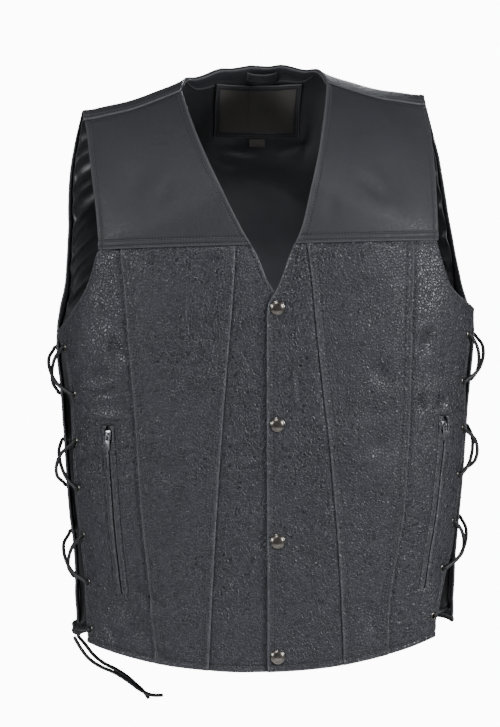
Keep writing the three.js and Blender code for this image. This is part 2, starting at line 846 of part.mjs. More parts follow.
function snapCap(z) {
  const profile = [
    [0, 0],
    [SNAP_RADIUS - 0.7, 0],
    [SNAP_RADIUS, 0.7],
    [SNAP_RADIUS - 0.4, 1.5],
    [SNAP_RADIUS * 0.76, 2.4],
    [SNAP_RADIUS * 0.4, 3.1],
    [0, SNAP_HEIGHT],
  ].map(([r, h]) => new THREE.Vector2(r, h));
  const cap = new THREE.LatheGeometry(profile, 14).rotateX(90 * DEGREE);
  const turn = turnAt(0, z);
  const path = pathAt(0, z);
  const seat = skin(FRONT, turn, path, LAY_GAP);
  const out = skin(FRONT, turn, path, LAY_GAP + 1).sub(seat).normalize();
  const aim = new THREE.Quaternion().setFromUnitVectors(new THREE.Vector3(0, 0, 1), out);
  return solidify(cap.applyQuaternion(aim).translate(seat.x, seat.y, seat.z));
}

// Merges a closed primitive's doubled vertices and turns its faces out
function solidify(geometry) {
  const bare = geometry.clone();
  bare.deleteAttribute('normal');
  bare.deleteAttribute('uv');
  const merged = mergeVertices(bare, 1e-4);
  const index = Array.from(merged.index.array);
  const faces = [];
  for (let f = 0; f < index.length; f += 3) {
    const [a, b, c] = index.slice(f, f + 3);
    if (a !== b && b !== c && c !== a) faces.push(a, b, c);
  }
  return facedOut(Array.from(merged.attributes.position.array), faces);
}

// Eyelets and laces

function eyeletHeights() {
  return Array.from({ length: EYELET_ROWS }, (_, row) => EYELET_TOP - EYELET_PITCH * row);
}

function frontEyelet(hand, z) {
  const turn = SIDES[hand] * (sideEdge[hand](z) - EYELET_IN_FRONT) * DEGREE;
  return { side: FRONT, turn, path: pathAt(halfAt(z), z) };
}

function backEyelet(hand, z) {
  const path = pathAt(halfAt(z), z);
  return { side: BACK, turn: SIDES[hand] * (backEdge(path) - EYELET_IN_BACK) * DEGREE, path };
}

function liftedFrom({ side, turn, path }, lift) {
  return skin(side, turn, path, lift);
}

function holePunch(eyelet) {
  const middle = liftedFrom(eyelet, -LEATHER / 2);
  const out = liftedFrom(eyelet, 1).sub(middle).normalize();
  const punch = new THREE.CylinderGeometry(HOLE_RADIUS, HOLE_RADIUS, 12, 8);
  const aim = new THREE.Quaternion().setFromUnitVectors(new THREE.Vector3(0, 1, 0), out);
  return punch.applyQuaternion(aim).translate(middle.x, middle.y, middle.z);
}

// A route whose steps fall on its own points, closer together at the bends
class Route extends THREE.Curve {
  constructor(points) {
    super();
    this.points = points;
  }

  getPoint(share) {
    const at = share * (this.points.length - 1);
    const i = Math.min(Math.floor(at), this.points.length - 2);
    return this.points[i].clone().lerp(this.points[i + 1], at - i);
  }

  getPointAt(share) {
    return this.getPoint(share);
  }

  getTangentAt(share) {
    const last = this.points.length - 1;
    const i = Math.round(share * last);
    return this.points[Math.min(i + 1, last)].clone().sub(this.points[Math.max(i - 1, 0)]).normalize();
  }
}

function cordAlong(points, radius) {
  const section = new THREE.Shape(Array.from({ length: 8 }, (_, i) => {
    const angle = (i / 8) * 2 * Math.PI;
    return new THREE.Vector2(radius * Math.cos(angle), radius * Math.sin(angle));
  }));
  const settings = { extrudePath: new Route(points), steps: points.length - 1, bevelEnabled: false };
  return solidify(new THREE.ExtrudeGeometry(section, settings));
}

function towards(from, to, distance) {
  return to.clone().sub(from).normalize().multiplyScalar(distance);
}

// One stretch between two eyelets, over the outside (lift +) or along the inside (lift -)
function laceStretch(start, end, outside, bulge) {
  const hole = outside ? HOLE_LIFT : -LEATHER - HOLE_LIFT;
  const lie = outside ? LACE_LIFT : -LEATHER - LACE_LIFT;
  const a = liftedFrom(start, lie);
  const b = liftedFrom(end, lie);
  const outA = liftedFrom(start, lie + 1).sub(a);
  const outB = liftedFrom(end, lie + 1).sub(b);
  const out = outA.clone().add(outB).normalize();
  const points = [liftedFrom(start, hole), a.clone().add(alongCloth(a, b, outA))];
  for (const share of outside ? [0.22, 0.5, 0.78] : [0.5]) {
    points.push(a.clone().lerp(b, share).addScaledVector(out, bulge * Math.sin(share * Math.PI) ** 0.7));
  }
  points.push(b.clone().add(alongCloth(b, a, outB)), liftedFrom(end, hole));
  return points;
}

// A short step from one point to another, level with the cloth
function alongCloth(from, to, out) {
  const run = to.clone().sub(from);
  return run.addScaledVector(out, -run.dot(out)).setLength(4.5);
}

// Heights of the outside loops off the cloth, for the strand below and the strand above
const LOOP_BULGE = { under: 8, over: 13 };

function strand(hand, startsAtFront, bulge) {
  const heights = eyeletHeights();
  const spots = heights.map((z, row) => {
    const swapped = Math.floor((row + 1) / 2) % 2 === 1;
    return (startsAtFront !== swapped) ? frontEyelet(hand, z) : backEyelet(hand, z);
  });
  const points = [];
  for (let row = 0; row < EYELET_ROWS - 1; row += 1) {
    const outside = row % 2 === 0;
    points.push(...laceStretch(spots[row], spots[row + 1], outside, outside ? bulge : -1));
  }
  return { points, end: spots[EYELET_ROWS - 1] };
}

function knotCentre(hand) {
  const z = EYELET_TOP - EYELET_PITCH * (EYELET_ROWS - 1) - 3;
  const front = liftedFrom(frontEyelet(hand, z), 0);
  const back = liftedFrom(backEyelet(hand, z), 0);
  const lift = hand === 'right' ? 8.5 : -13;
  return front.lerp(back, 0.5).add(new THREE.Vector3(SIDES[hand] * lift, 0, 0));
}

function lace(hand) {
  const first = strand(hand, true, LOOP_BULGE.under);
  const second = strand(hand, false, LOOP_BULGE.over);
  const top = eyeletHeights()[0];
  const bar = laceStretch(backEyelet(hand, top), frontEyelet(hand, top), false, -4);
  const centre = knotCentre(hand);
  const tail = ({ end }) => {
    const outside = hand === 'right';
    const sign = outside ? 1 : -1;
    const base = outside ? 0 : -LEATHER;
    const hole = liftedFrom(end, base + sign * HOLE_LIFT);
    const lie = liftedFrom(end, base + sign * LACE_LIFT);
    const near = centre.clone().add(towards(centre, lie, KNOT.across + 0.8));
    return outside ? [hole, lie.clone().add(towards(lie, centre, 4)), near] : [near];
  };
  const points = [
    ...tail(first).reverse(),
    ...first.points.slice().reverse(),
    ...bar.slice().reverse(),
    ...second.points,
    ...tail(second),
  ];
  return cordAlong(points, LACE_RADIUS);
}

function laceKnot(hand) {
  const ball = new THREE.SphereGeometry(1, 10, 8);
  const centre = knotCentre(hand);
  ball.scale(KNOT.deep, KNOT.across, KNOT.tall);
  return solidify(ball.translate(centre.x, centre.y, centre.z));
}

// Free ends of the right lace, from the knot, as steps forward along +X, +Y and +Z
const TAIL_ROUTES = {
  lace_tail_right_a: [
    [-2, -3.6, -8.3],
    [5, -8, -20],
    [14, -12, -31],
    [26, -15, -39],
    [42, -17, -46],
    [56, -18, -55],
    [68, -18, -64],
    [80, -17, -70],
    [93, -15, -71],
  ],
  lace_tail_right_b: [
    [2.6, 0.5, -8.7],
    [10, -2, -17],
    [19, -6, -28],
    [30, -9, -36.5],
    [43, -11, -43],
    [55, -11.5, -51],
    [65, -11, -60],
    [73, -11, -68],
    [78, -12, -75],
  ],
};

function laceTail(name) {
  const centre = knotCentre('right');
  return cordAlong(TAIL_ROUTES[name].map((step) => centre.clone().add(new THREE.Vector3(...step))), LACE_RADIUS);
}

// The vest

const vest = new THREE.Group();

function add(name, geometry, material) {
  const mesh = new THREE.Mesh(geometry, material);
  mesh.name = name;
  vest.add(mesh);
}

add('back', backWall(), SMOOTH);
add('back_lining', liningWall(), SATIN_BLACK);
add('neck_band', neckBand(), SMOOTH);
add('label_patch', labelPatch(), LABEL_FIELD);
add('size_tab', sizeTab(), LABEL_FIELD);
add('hanger_loop', hangerLoop(), SMOOTH);
for (const hand of Object.keys(SIDES)) {
  add(`yoke_${hand}`, yoke(hand), SMOOTH);
  add(`front_centre_${hand}`, centrePanel(hand), PEBBLED);
  add(`front_middle_${hand}`, middlePanel(hand), PEBBLED);
  add(`front_side_${hand}`, sidePanel(hand), PEBBLED);
  add(`pocket_lip_${hand}_inner`, pocketLip(hand, true), PEBBLED);
  add(`pocket_lip_${hand}_outer`, pocketLip(hand, false), PEBBLED);
  add(`zip_tape_${hand}`, zipTape(hand), TAPE);
  add(`zip_slider_${hand}`, zipSlider(hand), NICKEL);
  add(`zip_pull_${hand}`, solidify(zipPull(hand)), NICKEL);
  add(`lace_${hand}`, lace(hand), THONG);
  add(`lace_knot_${hand}`, laceKnot(hand), THONG);
}
Object.keys(TAIL_ROUTES).forEach((name) => add(name, laceTail(name), THONG));
SNAP_HEIGHTS.forEach((z, i) => add(`snap_${i + 1}`, snapCap(z), GUNMETAL));

export default vest;
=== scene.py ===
"""A black leather vest with laced sides: the look of every piece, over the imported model."""
import math

import bpy
import numpy as np
from bpy.props import FloatProperty, FloatVectorProperty, PointerProperty
from mathutils import Matrix, Vector


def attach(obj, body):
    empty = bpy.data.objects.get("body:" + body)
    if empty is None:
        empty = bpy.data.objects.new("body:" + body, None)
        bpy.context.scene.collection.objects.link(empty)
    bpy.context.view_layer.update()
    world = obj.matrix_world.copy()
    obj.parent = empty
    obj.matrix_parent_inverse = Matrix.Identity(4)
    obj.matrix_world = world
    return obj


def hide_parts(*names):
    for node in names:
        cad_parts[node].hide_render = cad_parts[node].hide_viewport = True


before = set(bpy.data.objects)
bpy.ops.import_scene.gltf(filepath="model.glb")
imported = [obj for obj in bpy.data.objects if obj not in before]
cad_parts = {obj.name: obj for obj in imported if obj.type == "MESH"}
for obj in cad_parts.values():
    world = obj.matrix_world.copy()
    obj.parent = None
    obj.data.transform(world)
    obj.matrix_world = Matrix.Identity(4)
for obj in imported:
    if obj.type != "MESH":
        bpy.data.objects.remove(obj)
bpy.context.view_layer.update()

bl_info = {
    "name": "Leather vest",
    "version": (1, 0, 0),
    "blender": (4, 5, 0),
    "location": "View3D > Sidebar > Vest",
    "description": "Builds the panels, lining, laces and metal of a laced leather vest",
    "category": "Object",
}

# The form is worked out in millimetres, as the pattern is, and every mesh is made in metres
MM = 0.001
DEGREE = math.pi / 180

# Cloth, seams and edges, in millimetres
LEATHER = 2.0
FACING = 1.5
SATIN = 1.0
LINING_GAP = 0.65
LAP_DROP = 2.6
LAP_REACH = 1.2
# Width of the edge band that is painted lighter: rubbed wear and a painted highlight
EDGE_WEAR_AND_HIGHLIGHT = 1.6
LINING_FACE = -LEATHER - LINING_GAP - SATIN
BAND_FACE = -LEATHER - LINING_GAP - FACING

# The worn form: plan sections that are rounded squares, and a rolled shoulder
ROUND = 2.35
ROLL_POWER = 1.55
ROLL_DROP = 150
ROLL_PATH = 215
RIDGE_Y = 12
LEAN = 12.5
TILT_LOW = 0.03
TILT_HIGH = 0.054

# Cut lines
YOKE_SEAM_Z = -175
SHOULDER_SEAM_DROP = 12
HEM_Z = -620
HEM_RISE = 26
HEM_HALF = 190
BACK_HEM_Z = -612
BACK_HEM_RISE = 15
NECK_HALF = {"right": 82, "left": 77}
BAND_DEPTH = 23
NECK_SLOPE = 0.055
LABEL = {"x": 9, "width": 100, "top": 8.5, "bottom": -47.5}
TAB = {"x": 11, "width": 18, "top": -48.2, "bottom": -57}
HANGER = {"x": 13, "width": 36, "top": 22, "bottom": 14, "bulge": 4}
LABEL_BORDER = 7.0

# Fastenings
SNAP_HEIGHTS = (-242, -363, -484, -604)
WINDOW_HALF = 8.8
LIP_HALF = 8.5
ZIP_GAP = 2.0
TAPE_HALF = 11
SLIDER_SHARE = 0.06
POCKET_ENDS = {"right": (-360, -537), "left": (-362, -543)}
POCKET_SLANT = 0.73
TOOTH_PITCH = 2.0

# Laced sides
LACE_RADIUS = 2
HOLE_RADIUS = 2.7
PUNCH_DEPTH = 0.01
EYELET_TOP = -278
EYELET_PITCH = 50
EYELET_ROWS = 7
EYELET_IN_FRONT = 3.5
EYELET_IN_BACK = 2.9
LACE_LIFT = 3.4
HOLE_LIFT = 1.8
LOOP_UNDER = 8
LOOP_OVER = 13
KNOT_ACROSS = 8

HANDS = {"right": -1, "left": 1}
FRONT = -1
BACK = 1


def table(columns, rows):
    return {name: np.array([row[i] for row in rows], float) for i, name in enumerate(columns)}


# Plan sections of the form, by height
SECTIONS = table(("z", "half", "front", "back"), [
    (60, 150, 100, 118),
    (0, 184, 108, 124),
    (-33, 196, 112, 130),
    (-88, 210, 118, 136),
    (-166, 219, 123, 138),
    (-245, 226, 124, 132),
    (-271, 228, 124, 129),
    (-336, 223, 124, 122),
    (-441, 216, 126, 117),
    (-532, 208, 128, 120),
    (-612, 205, 129, 126),
])

# Height of the shoulder ridge, out from the middle
RIDGE = table(("out", "z"), [
    (0, 52),
    (30, 43),
    (60, 22),
    (82, 8),
    (104, 0),
    (136, -10),
    (158, -14),
    (180, -17.5),
    (205, -19),
    (240, -19),
])

# Neck and front edge of each front, out from the middle on its own side
FRONT_EDGE = table(("z", "right", "left"), [
    (0, 82, 77),
    (-10, 80, 75),
    (-40, 74, 67),
    (-77, 64.5, 56),
    (-117, 51, 42),
    (-160, 33.5, 28),
    (-188, 19, 14),
    (-213, 10, 4),
    (-225, 3, -2),
    (-240, -6, -10),
    (-258, -12, -11),
    (-300, -13, -11),
    (-640, -13, -10.5),
])

INNER_SEAM = table(("z", "right", "left"), [
    (-175, 43, 34),
    (-263, 50, 42),
    (-336, 56, 50),
    (-418, 62, 59),
    (-500, 67, 65.5),
    (-620, 73, 71),
])

OUTER_SEAM = table(("z", "right", "left"), [
    (-175, 159, 147),
    (-263, 153, 143),
    (-313, 149, 142),
    (-364, 145, 141),
    (-416, 142, 137.5),
    (-470, 138, 133.5),
    (-505, 134, 127),
    (-541, 131, 121),
    (-582, 127, 118),
    (-620, 124, 118),
])

ARMHOLE_FRONT = table(("z", "right", "left"), [
    (-15, 188, 188.5),
    (-50, 184, 188),
    (-100, 183, 184),
    (-140, 182, 180),
    (-180, 182, 177),
])

# The armhole's foot: height of the side panel's top edge, by distance out from the middle
ARMPIT = table(("out", "right", "left"), [
    (140, -175, -175),
    (176, -175, -176),
    (181.5, -176.5, -200),
    (189, -197, -222),
    (198, -218, -232.5),
    (212, -238, -242),
    (224, -255, -250),
    (232, -265, -256),
])

# Laced edge of the side panels, in degrees round from the centre front
SIDE_EDGE = table(("z", "right", "left"), [
    (-240, 88, 80),
    (-262, 87, 75),
    (-274, 79, 71),
    (-290, 73, 70),
    (-320, 71, 70),
    (-366, 72.5, 72),
    (-430, 73, 71),
    (-480, 72, 69),
    (-515, 71, 66),
    (-545, 71, 62),
    (-566, 70.5, 57.5),
    (-600, 70, 55),
])

# Armhole and laced edge of the back, in degrees round from the centre back
BACK_EDGE = table(("path", "turn"), [
    (-49, 72),
    (-20, 76),
    (0, 78),
    (40, 77.5),
    (110, 77),
    (164, 76.5),
    (226, 77),
    (262, 79.5),
    (288, 85),
    (306, 92),
    (340, 92),
    (680, 91),
])

# Back neckline: path down from the ridge, by the share of the neck's half width
NECKLINE = table(("share", "path"), [
    (0, 70),
    (0.25, 66),
    (0.44, 56),
    (0.625, 45),
    (0.775, 32),
    (0.875, 12),
    (0.94, -14),
    (0.975, -32),
    (1, -48.7),
    (4, -48.7),
])

POCKET_LINE = table(("z", "right", "left"), [
    (-340, 175, 182.5),
    (-378, 174, 181.5),
    (-426, 171, 177.5),
    (-479, 166.5, 170.5),
    (-531, 161, 161.5),
    (-560, 158, 157),
])

FOLD_COLUMNS = ("x1", "z1", "x2", "z2", "width", "depth")

# Troughs of the worn leather; the wide ones are the solid's own, and a negative depth is a ridge
FRONT_FOLDS = table(FOLD_COLUMNS, [
    (10, -488, 66, -522, 10, 1.8),
    (8, -474, 66, -434, 10, 1.6),
    (-176, -532, -126, -578, 8, 1.6),
    (-160, -562, -112, -594, 8, 1.5),
    (-78, -438, -16, -441, 9, 1.2),
    (-78, -520, -14, -525, 10, 1.5),
    (-74, -557, -16, -549, 9, 1.3),
    (180, -480, 190, -600, 10, 2.2),
    (-200, -312, -166, -306, 8, 1.4),
    (-120, -60, -150, -150, 16, 1.6),
    (118, -58, 150, -160, 16, 1.6),
])
FRONT_CREASES = table(FOLD_COLUMNS, [
    (-156, -520, -116, -552, 4.0, 0.8),
    (-150, -546, -106, -570, 4.5, -0.7),
    (-142, -586, -98, -612, 4.0, 0.7),
    (-186, -556, -160, -596, 5.0, 0.8),
    (-203, -351, -148, -352, 3.0, -0.7),
    (-196, -330, -160, -322, 4.0, 0.6),
    (16, -300, 18, -352, 3.2, -0.7),
    (22, -306, 24, -344, 3.0, 0.6),
    (12, -500, 48, -541, 4.0, 0.7),
    (14, -482, 50, -470, 4.0, -0.7),
    (14, -452, 44, -408, 5.0, 0.8),
    (12, -584, 52, -574, 5.0, 0.7),
    (-70, -474, -20, -480, 5.0, -0.5),
    (-68, -590, -18, -584, 4.5, 0.6),
    (-66, -396, -22, -388, 6.0, 0.6),
    (146, -350, 162, -347, 7.0, 1.1),
    (172, -346, 186, -351, 6.0, 1.0),
    (150, -300, 172, -268, 7.0, 0.8),
    (-176, -262, -156, -300, 7.0, 0.8),
    (92, -402, 128, -376, 9.0, 0.8),
    (84, -540, 112, -600, 7.0, 0.9),
    (98, -300, 124, -330, 9.0, 0.7),
    (-132, -392, -96, -420, 9.0, 0.7),
    (-104, -300, -84, -360, 9.0, 0.6),
    (200, -500, 204, -584, 5.0, 1.0),
    (168, -588, 196, -566, 5.0, 0.9),
    (88, -96, 128, -140, 9.0, 0.7),
    (-92, -92, -130, -146, 9.0, 0.7),
    (70, -120, 52, -158, 8.0, 0.6),
])
BACK_FOLDS = table(FOLD_COLUMNS, [
    (-150, -300, -50, -410, 18, 2.4),
    (145, -318, 58, -420, 18, 2.2),
    (-40, -180, -160, -245, 16, 1.8),
    (48, -196, 165, -262, 16, 1.8),
    (-28, -430, -92, -590, 18, 2.2),
    (40, -440, 84, -592, 18, 2.2),
    (-182, -430, -110, -452, 14, 1.8),
    (120, -470, 184, -446, 14, 1.6),
])
BACK_CREASES = table(FOLD_COLUMNS, [
    (-176, -270, -120, -322, 7, 1.1),
    (172, -282, 112, -330, 7, 1.0),
    (-150, -352, -96, -396, 6, -0.8),
    (148, -366, 90, -402, 6, -0.8),
    (-72, -500, -104, -604, 6, 1.0),
    (62, -516, 92, -606, 6, 0.9),
    (-188, -402, -140, -414, 5, 0.9),
    (142, -432, 190, -420, 5, 0.9),
    (-190, -520, -150, -560, 7, 1.0),
    (186, -528, 150, -574, 7, 0.9),
    (-60, -110, -120, -150, 12, 1.0),
    (64, -116, 132, -164, 12, 1.0),
    (-20, -240, 40, -252, 12, 0.8),
    (-10, -352, 30, -358, 10, -0.7),
    (-8, -560, 22, -604, 8, 0.8),
])

# Creases that run into the satin from the armhole's edge, by height where they start
SATIN_CREASES = table(("z", "reach", "rise", "width", "depth"), [
    (-52, 70, 26, 6.0, 1.6),
    (-74, 56, 30, 4.5, 1.2),
    (-96, 84, 44, 6.5, 2.0),
    (-118, 60, 34, 4.5, 1.3),
    (-141, 92, 52, 7.0, 2.2),
    (-160, 52, 32, 4.2, 1.2),
    (-180, 88, 50, 6.5, 2.0),
    (-201, 64, 40, 5.0, 1.5),
    (-224, 80, 46, 6.5, 1.9),
    (-246, 54, 30, 5.0, 1.4),
])

# Free ends of the right lace, as steps forward from the knot along X, Y and Z, in metres
TAIL_STEPS = {
    "lace_tail_right_a": (
        (-0.002, -0.0036, -0.0083),
        (0.005, -0.008, -0.020),
        (0.014, -0.012, -0.031),
        (0.026, -0.015, -0.039),
        (0.042, -0.017, -0.046),
        (0.056, -0.018, -0.055),
        (0.068, -0.018, -0.064),
        (0.080, -0.017, -0.070),
        (0.093, -0.015, -0.071),
    ),
    "lace_tail_right_b": (
        (0.0026, 0.0005, -0.0087),
        (0.010, -0.002, -0.017),
        (0.019, -0.006, -0.028),
        (0.030, -0.009, -0.0365),
        (0.043, -0.011, -0.043),
        (0.055, -0.0115, -0.051),
        (0.065, -0.011, -0.060),
        (0.073, -0.011, -0.068),
        (0.078, -0.012, -0.075),
    ),
}

# Where the photograph was taken from
CAMERA_DISTANCE = 2.4
CAMERA_HEIGHT = -0.234
CAMERA_AZIMUTH = -5.0
CAMERA_AIM = 0.13
CAMERA_DIP = 1.652
CAMERA_LENS = 109.03


# Numbers and curves

def lerp(start, end, share):
    return start + (end - start) * share


def smooth(value):
    share = np.clip(value, 0, 1)
    return share * share * (3 - 2 * share)


def rounding(distance, radius):
    return np.clip(1 - distance / radius, 0, 1) ** 2


def bell(value, width):
    return np.exp(-(value / width) ** 2)


def curve(rows, source, target):
    """A smooth curve through a table's rows that never swings past them."""
    order = np.argsort(rows[source])
    xs = rows[source][order]
    ys = rows[target][order]
    step = np.diff(xs)
    rise = np.diff(ys) / step
    product = rise[:-1] * rise[1:]
    total = np.where(product > 0, rise[:-1] + rise[1:], 1)
    inside = np.where(product > 0, 2 * product / total, 0)
    slopes = np.concatenate([rise[:1], inside, rise[-1:]])

    def value(at):
        x = np.clip(at, xs[0], xs[-1])
        i = np.clip(np.searchsorted(xs, x) - 1, 0, len(step) - 1)
        t = (x - xs[i]) / step[i]
        back = 1 - t
        return ((1 + 2 * t) * back * back * ys[i] + t * back * back * step[i] * slopes[i]
                + t * t * (3 - 2 * t) * ys[i + 1] - t * t * back * step[i] * slopes[i + 1])

    return value


def both_hands(rows, source):
    return {hand: curve(rows, source, hand) for hand in HANDS}


half_at = curve(SECTIONS, "z", "half")
front_at = curve(SECTIONS, "z", "front")
back_at = curve(SECTIONS, "z", "back")
ridge_out = curve(RIDGE, "out", "z")
front_edge = both_hands(FRONT_EDGE, "z")
inner_seam = both_hands(INNER_SEAM, "z")
outer_seam = both_hands(OUTER_SEAM, "z")
armhole_front = both_hands(ARMHOLE_FRONT, "z")
armpit = both_hands(ARMPIT, "out")
side_edge = both_hands(SIDE_EDGE, "z")
back_edge = curve(BACK_EDGE, "path", "turn")
neckline = curve(NECKLINE, "share", "path")
pocket_line = both_hands(POCKET_LINE, "z")


def cloud(x, z, cell, seed):
    """Soft random heights from -1 to 1, the same each run."""
    size = 64
    lattice = np.random.default_rng(seed).uniform(-1, 1, (size, size))
    across = x / cell + size / 2
    up = z / cell + size
    i = np.floor(across).astype(int)
    j = np.floor(up).astype(int)
    s = smooth(across - i)
    t = smooth(up - j)
    low = lerp(lattice[i % size, j % size], lattice[(i + 1) % size, j % size], s)
    high = lerp(lattice[i % size, (j + 1) % size], lattice[(i + 1) % size, (j + 1) % size], s)
    return lerp(low, high, t)


def ripple(along, seed):
    """An uneven wave along a seam, from 0 to 1."""
    phase = seed * 1.7
    wave = (np.sin(along / 1.35 + phase) * 0.5 + np.sin(along / 2.1 + 2.1 * phase) * 0.4
            + np.sin(along / 4.3 + 0.6 * phase) * 0.35)
    return np.clip(0.5 + 0.5 * wave, 0, 1)


# The form. A spot has a turn (radians round from the centre front or back, + to the wearer's left)
# and a path (down from the shoulder ridge, negative where the back wraps over to the front).

def drop_at(path):
    level = np.cos(np.clip(path / ROLL_PATH, 0, 1) * math.pi / 2)
    rolled = ROLL_DROP * (1 - np.maximum(level, 0) ** (2 / ROLL_POWER))
    return np.where(path >= ROLL_PATH, ROLL_DROP + path - ROLL_PATH, rolled)


def reach_at(path):
    return np.sin(np.clip(path / ROLL_PATH, 0, 1) * math.pi / 2) ** (2 / ROLL_POWER)


def path_at(x, z):
    drop = ridge_out(np.abs(x)) - z
    level = 1 - np.clip(drop, 0, ROLL_DROP) / ROLL_DROP
    rolled = ROLL_PATH * np.arccos(level ** (ROLL_POWER / 2)) / (math.pi / 2)
    return np.where(drop >= ROLL_DROP, ROLL_PATH + drop - ROLL_DROP, rolled)


def turn_at(x, z):
    share = np.clip(np.abs(x) / half_at(z), 0, 1)
    return np.sign(x) * np.arcsin(share ** (ROUND / 2))


class Spot:
    """A place on the form, or many, before the vest's lean and tilt."""

    def __init__(self, side, turn, path):
        self.side = side
        self.turn = turn
        self.path = path
        across = np.sign(turn) * np.abs(np.sin(turn)) ** (2 / ROUND)
        down = drop_at(np.abs(path))
        x = across * half_at(-down)
        for _ in range(6):
            z = ridge_out(np.abs(x)) - down
            x = across * half_at(z)
        face = np.where(path < 0, -side, side)
        faced = np.where(np.cos(turn) < 0, -face, face)
        deep = np.where(faced < 0, front_at(z), back_at(z))
        depth = faced * deep * np.abs(np.cos(turn)) ** (2 / ROUND)
        self.x = x
        self.y = RIDGE_Y + reach_at(np.abs(path)) * (depth - RIDGE_Y)
        self.z = z

    def posed(self):
        lean = LEAN * smooth(-self.z / 230)
        tilt = TILT_LOW + (TILT_HIGH - TILT_LOW) * smooth((self.z + 150) / 150)
        return np.stack([self.x + lean, self.y, self.z + tilt * self.x], -1)


def unit(vectors):
    return vectors / np.maximum(np.linalg.norm(vectors, axis=-1, keepdims=True), 1e-9)


def normal_of(side, turn, path, point):
    step_turn = 0.004
    step_path = 1.5
    along_turn = point(turn + step_turn, path) - point(turn - step_turn, path)
    along_path = point(turn, path + step_path) - point(turn, path - step_path)
    return unit(side * np.cross(along_turn, along_path))


def fold_depth(folds, x, z):
    depth = np.zeros(np.shape(x))
    for x1, z1, x2, z2, width, deep in zip(*(folds[name] for name in FOLD_COLUMNS)):
        length = math.hypot(x2 - x1, z2 - z1)
        run = ((x2 - x1) / length, (z2 - z1) / length)
        along = ((x - x1) * run[0] + (z - z1) * run[1]) / length
        away = (x - x1) * run[1] - (z - z1) * run[0]
        inside = (along > 0) & (along < 1)
        depth += np.where(inside, deep * np.sin(np.clip(along, 0, 1) * math.pi) ** 2 * bell(away, width), 0)
    return depth


def relief(side, spot):
    """How far the worn leather stands in from the smooth form."""
    if side == FRONT:
        depth = 1.8 * fold_depth(FRONT_FOLDS, spot.x, spot.z) + 3.0 * fold_depth(FRONT_CREASES, spot.x, spot.z)
        for z in SNAP_HEIGHTS:
            depth += 0.7 * bell(np.hypot(spot.x, spot.z - z), 11)
        loose = 1 - 0.65 * smooth((spot.z + 195) / 35)
    else:
        depth = 1.8 * fold_depth(BACK_FOLDS, spot.x, spot.z) + 3.0 * fold_depth(BACK_CREASES, spot.x, spot.z)
        loose = smooth((spot.path - 10) / 120)
    seed = 11 if side == FRONT else 23
    depth += loose * (1.5 * cloud(spot.x, spot.z, 62, seed) + 0.55 * cloud(spot.x, spot.z, 21, seed + 1))
    return depth * smooth(spot.path / 20)


def plain(side, turn, path):
    return Spot(side, turn, path).posed()


def surface(side, turn, path):
    spot = Spot(side, turn, path)
    normal = normal_of(side, turn, path, lambda t, p: plain(side, t, p))
    return spot.posed() - normal * relief(side, spot)[..., None]


def skin(side, turn, path, lift):
    """A point of the cloth, moved out (+) or in (-) along the form's normal, in millimetres."""
    normal = normal_of(side, turn, path, lambda t, p: surface(side, t, p))
    return surface(side, turn, path) + normal * np.asarray(lift)[..., None]


# Cloth between four edges, on a grid that is closer together at its seams

TURNED_LINES = (0, 0.3, 0.8, 1.5, 3.0, 4.6, 5.3, 6.0, 6.7, 7.5, 9.5)
UNDER_LINES = (0, 0.6, 1.6, 3.2, 5.5)
ONE_ROW_LINES = (0, 0.3, 0.8, 1.5, 3.4, 5.4, 6.3, 7.0, 7.7, 8.6, 10)
TWO_ROW_LINES = (0, 0.3, 0.8, 1.5, 2.2, 2.8, 3.4, 5.4, 7.7, 8.4, 9.1, 9.8, 11.5)
HEM_LINES = (0, 0.4, 1.1, 2.2, 3.5, 4.8, 5.6, 6.3, 7.0, 8.4)
RIM_LINES = (0, 0.3, 0.8, 1.6, 3)


def places(near, far, count, length):
    squeeze = min(1, 0.9 * length / (near[-1] + far[-1]))
    start = near[-1] * squeeze
    end = length - far[-1] * squeeze
    middle = start + (end - start) * np.arange(1, count) / count
    return np.concatenate([np.array(near) * squeeze, middle, length - squeeze * np.array(far[::-1])])


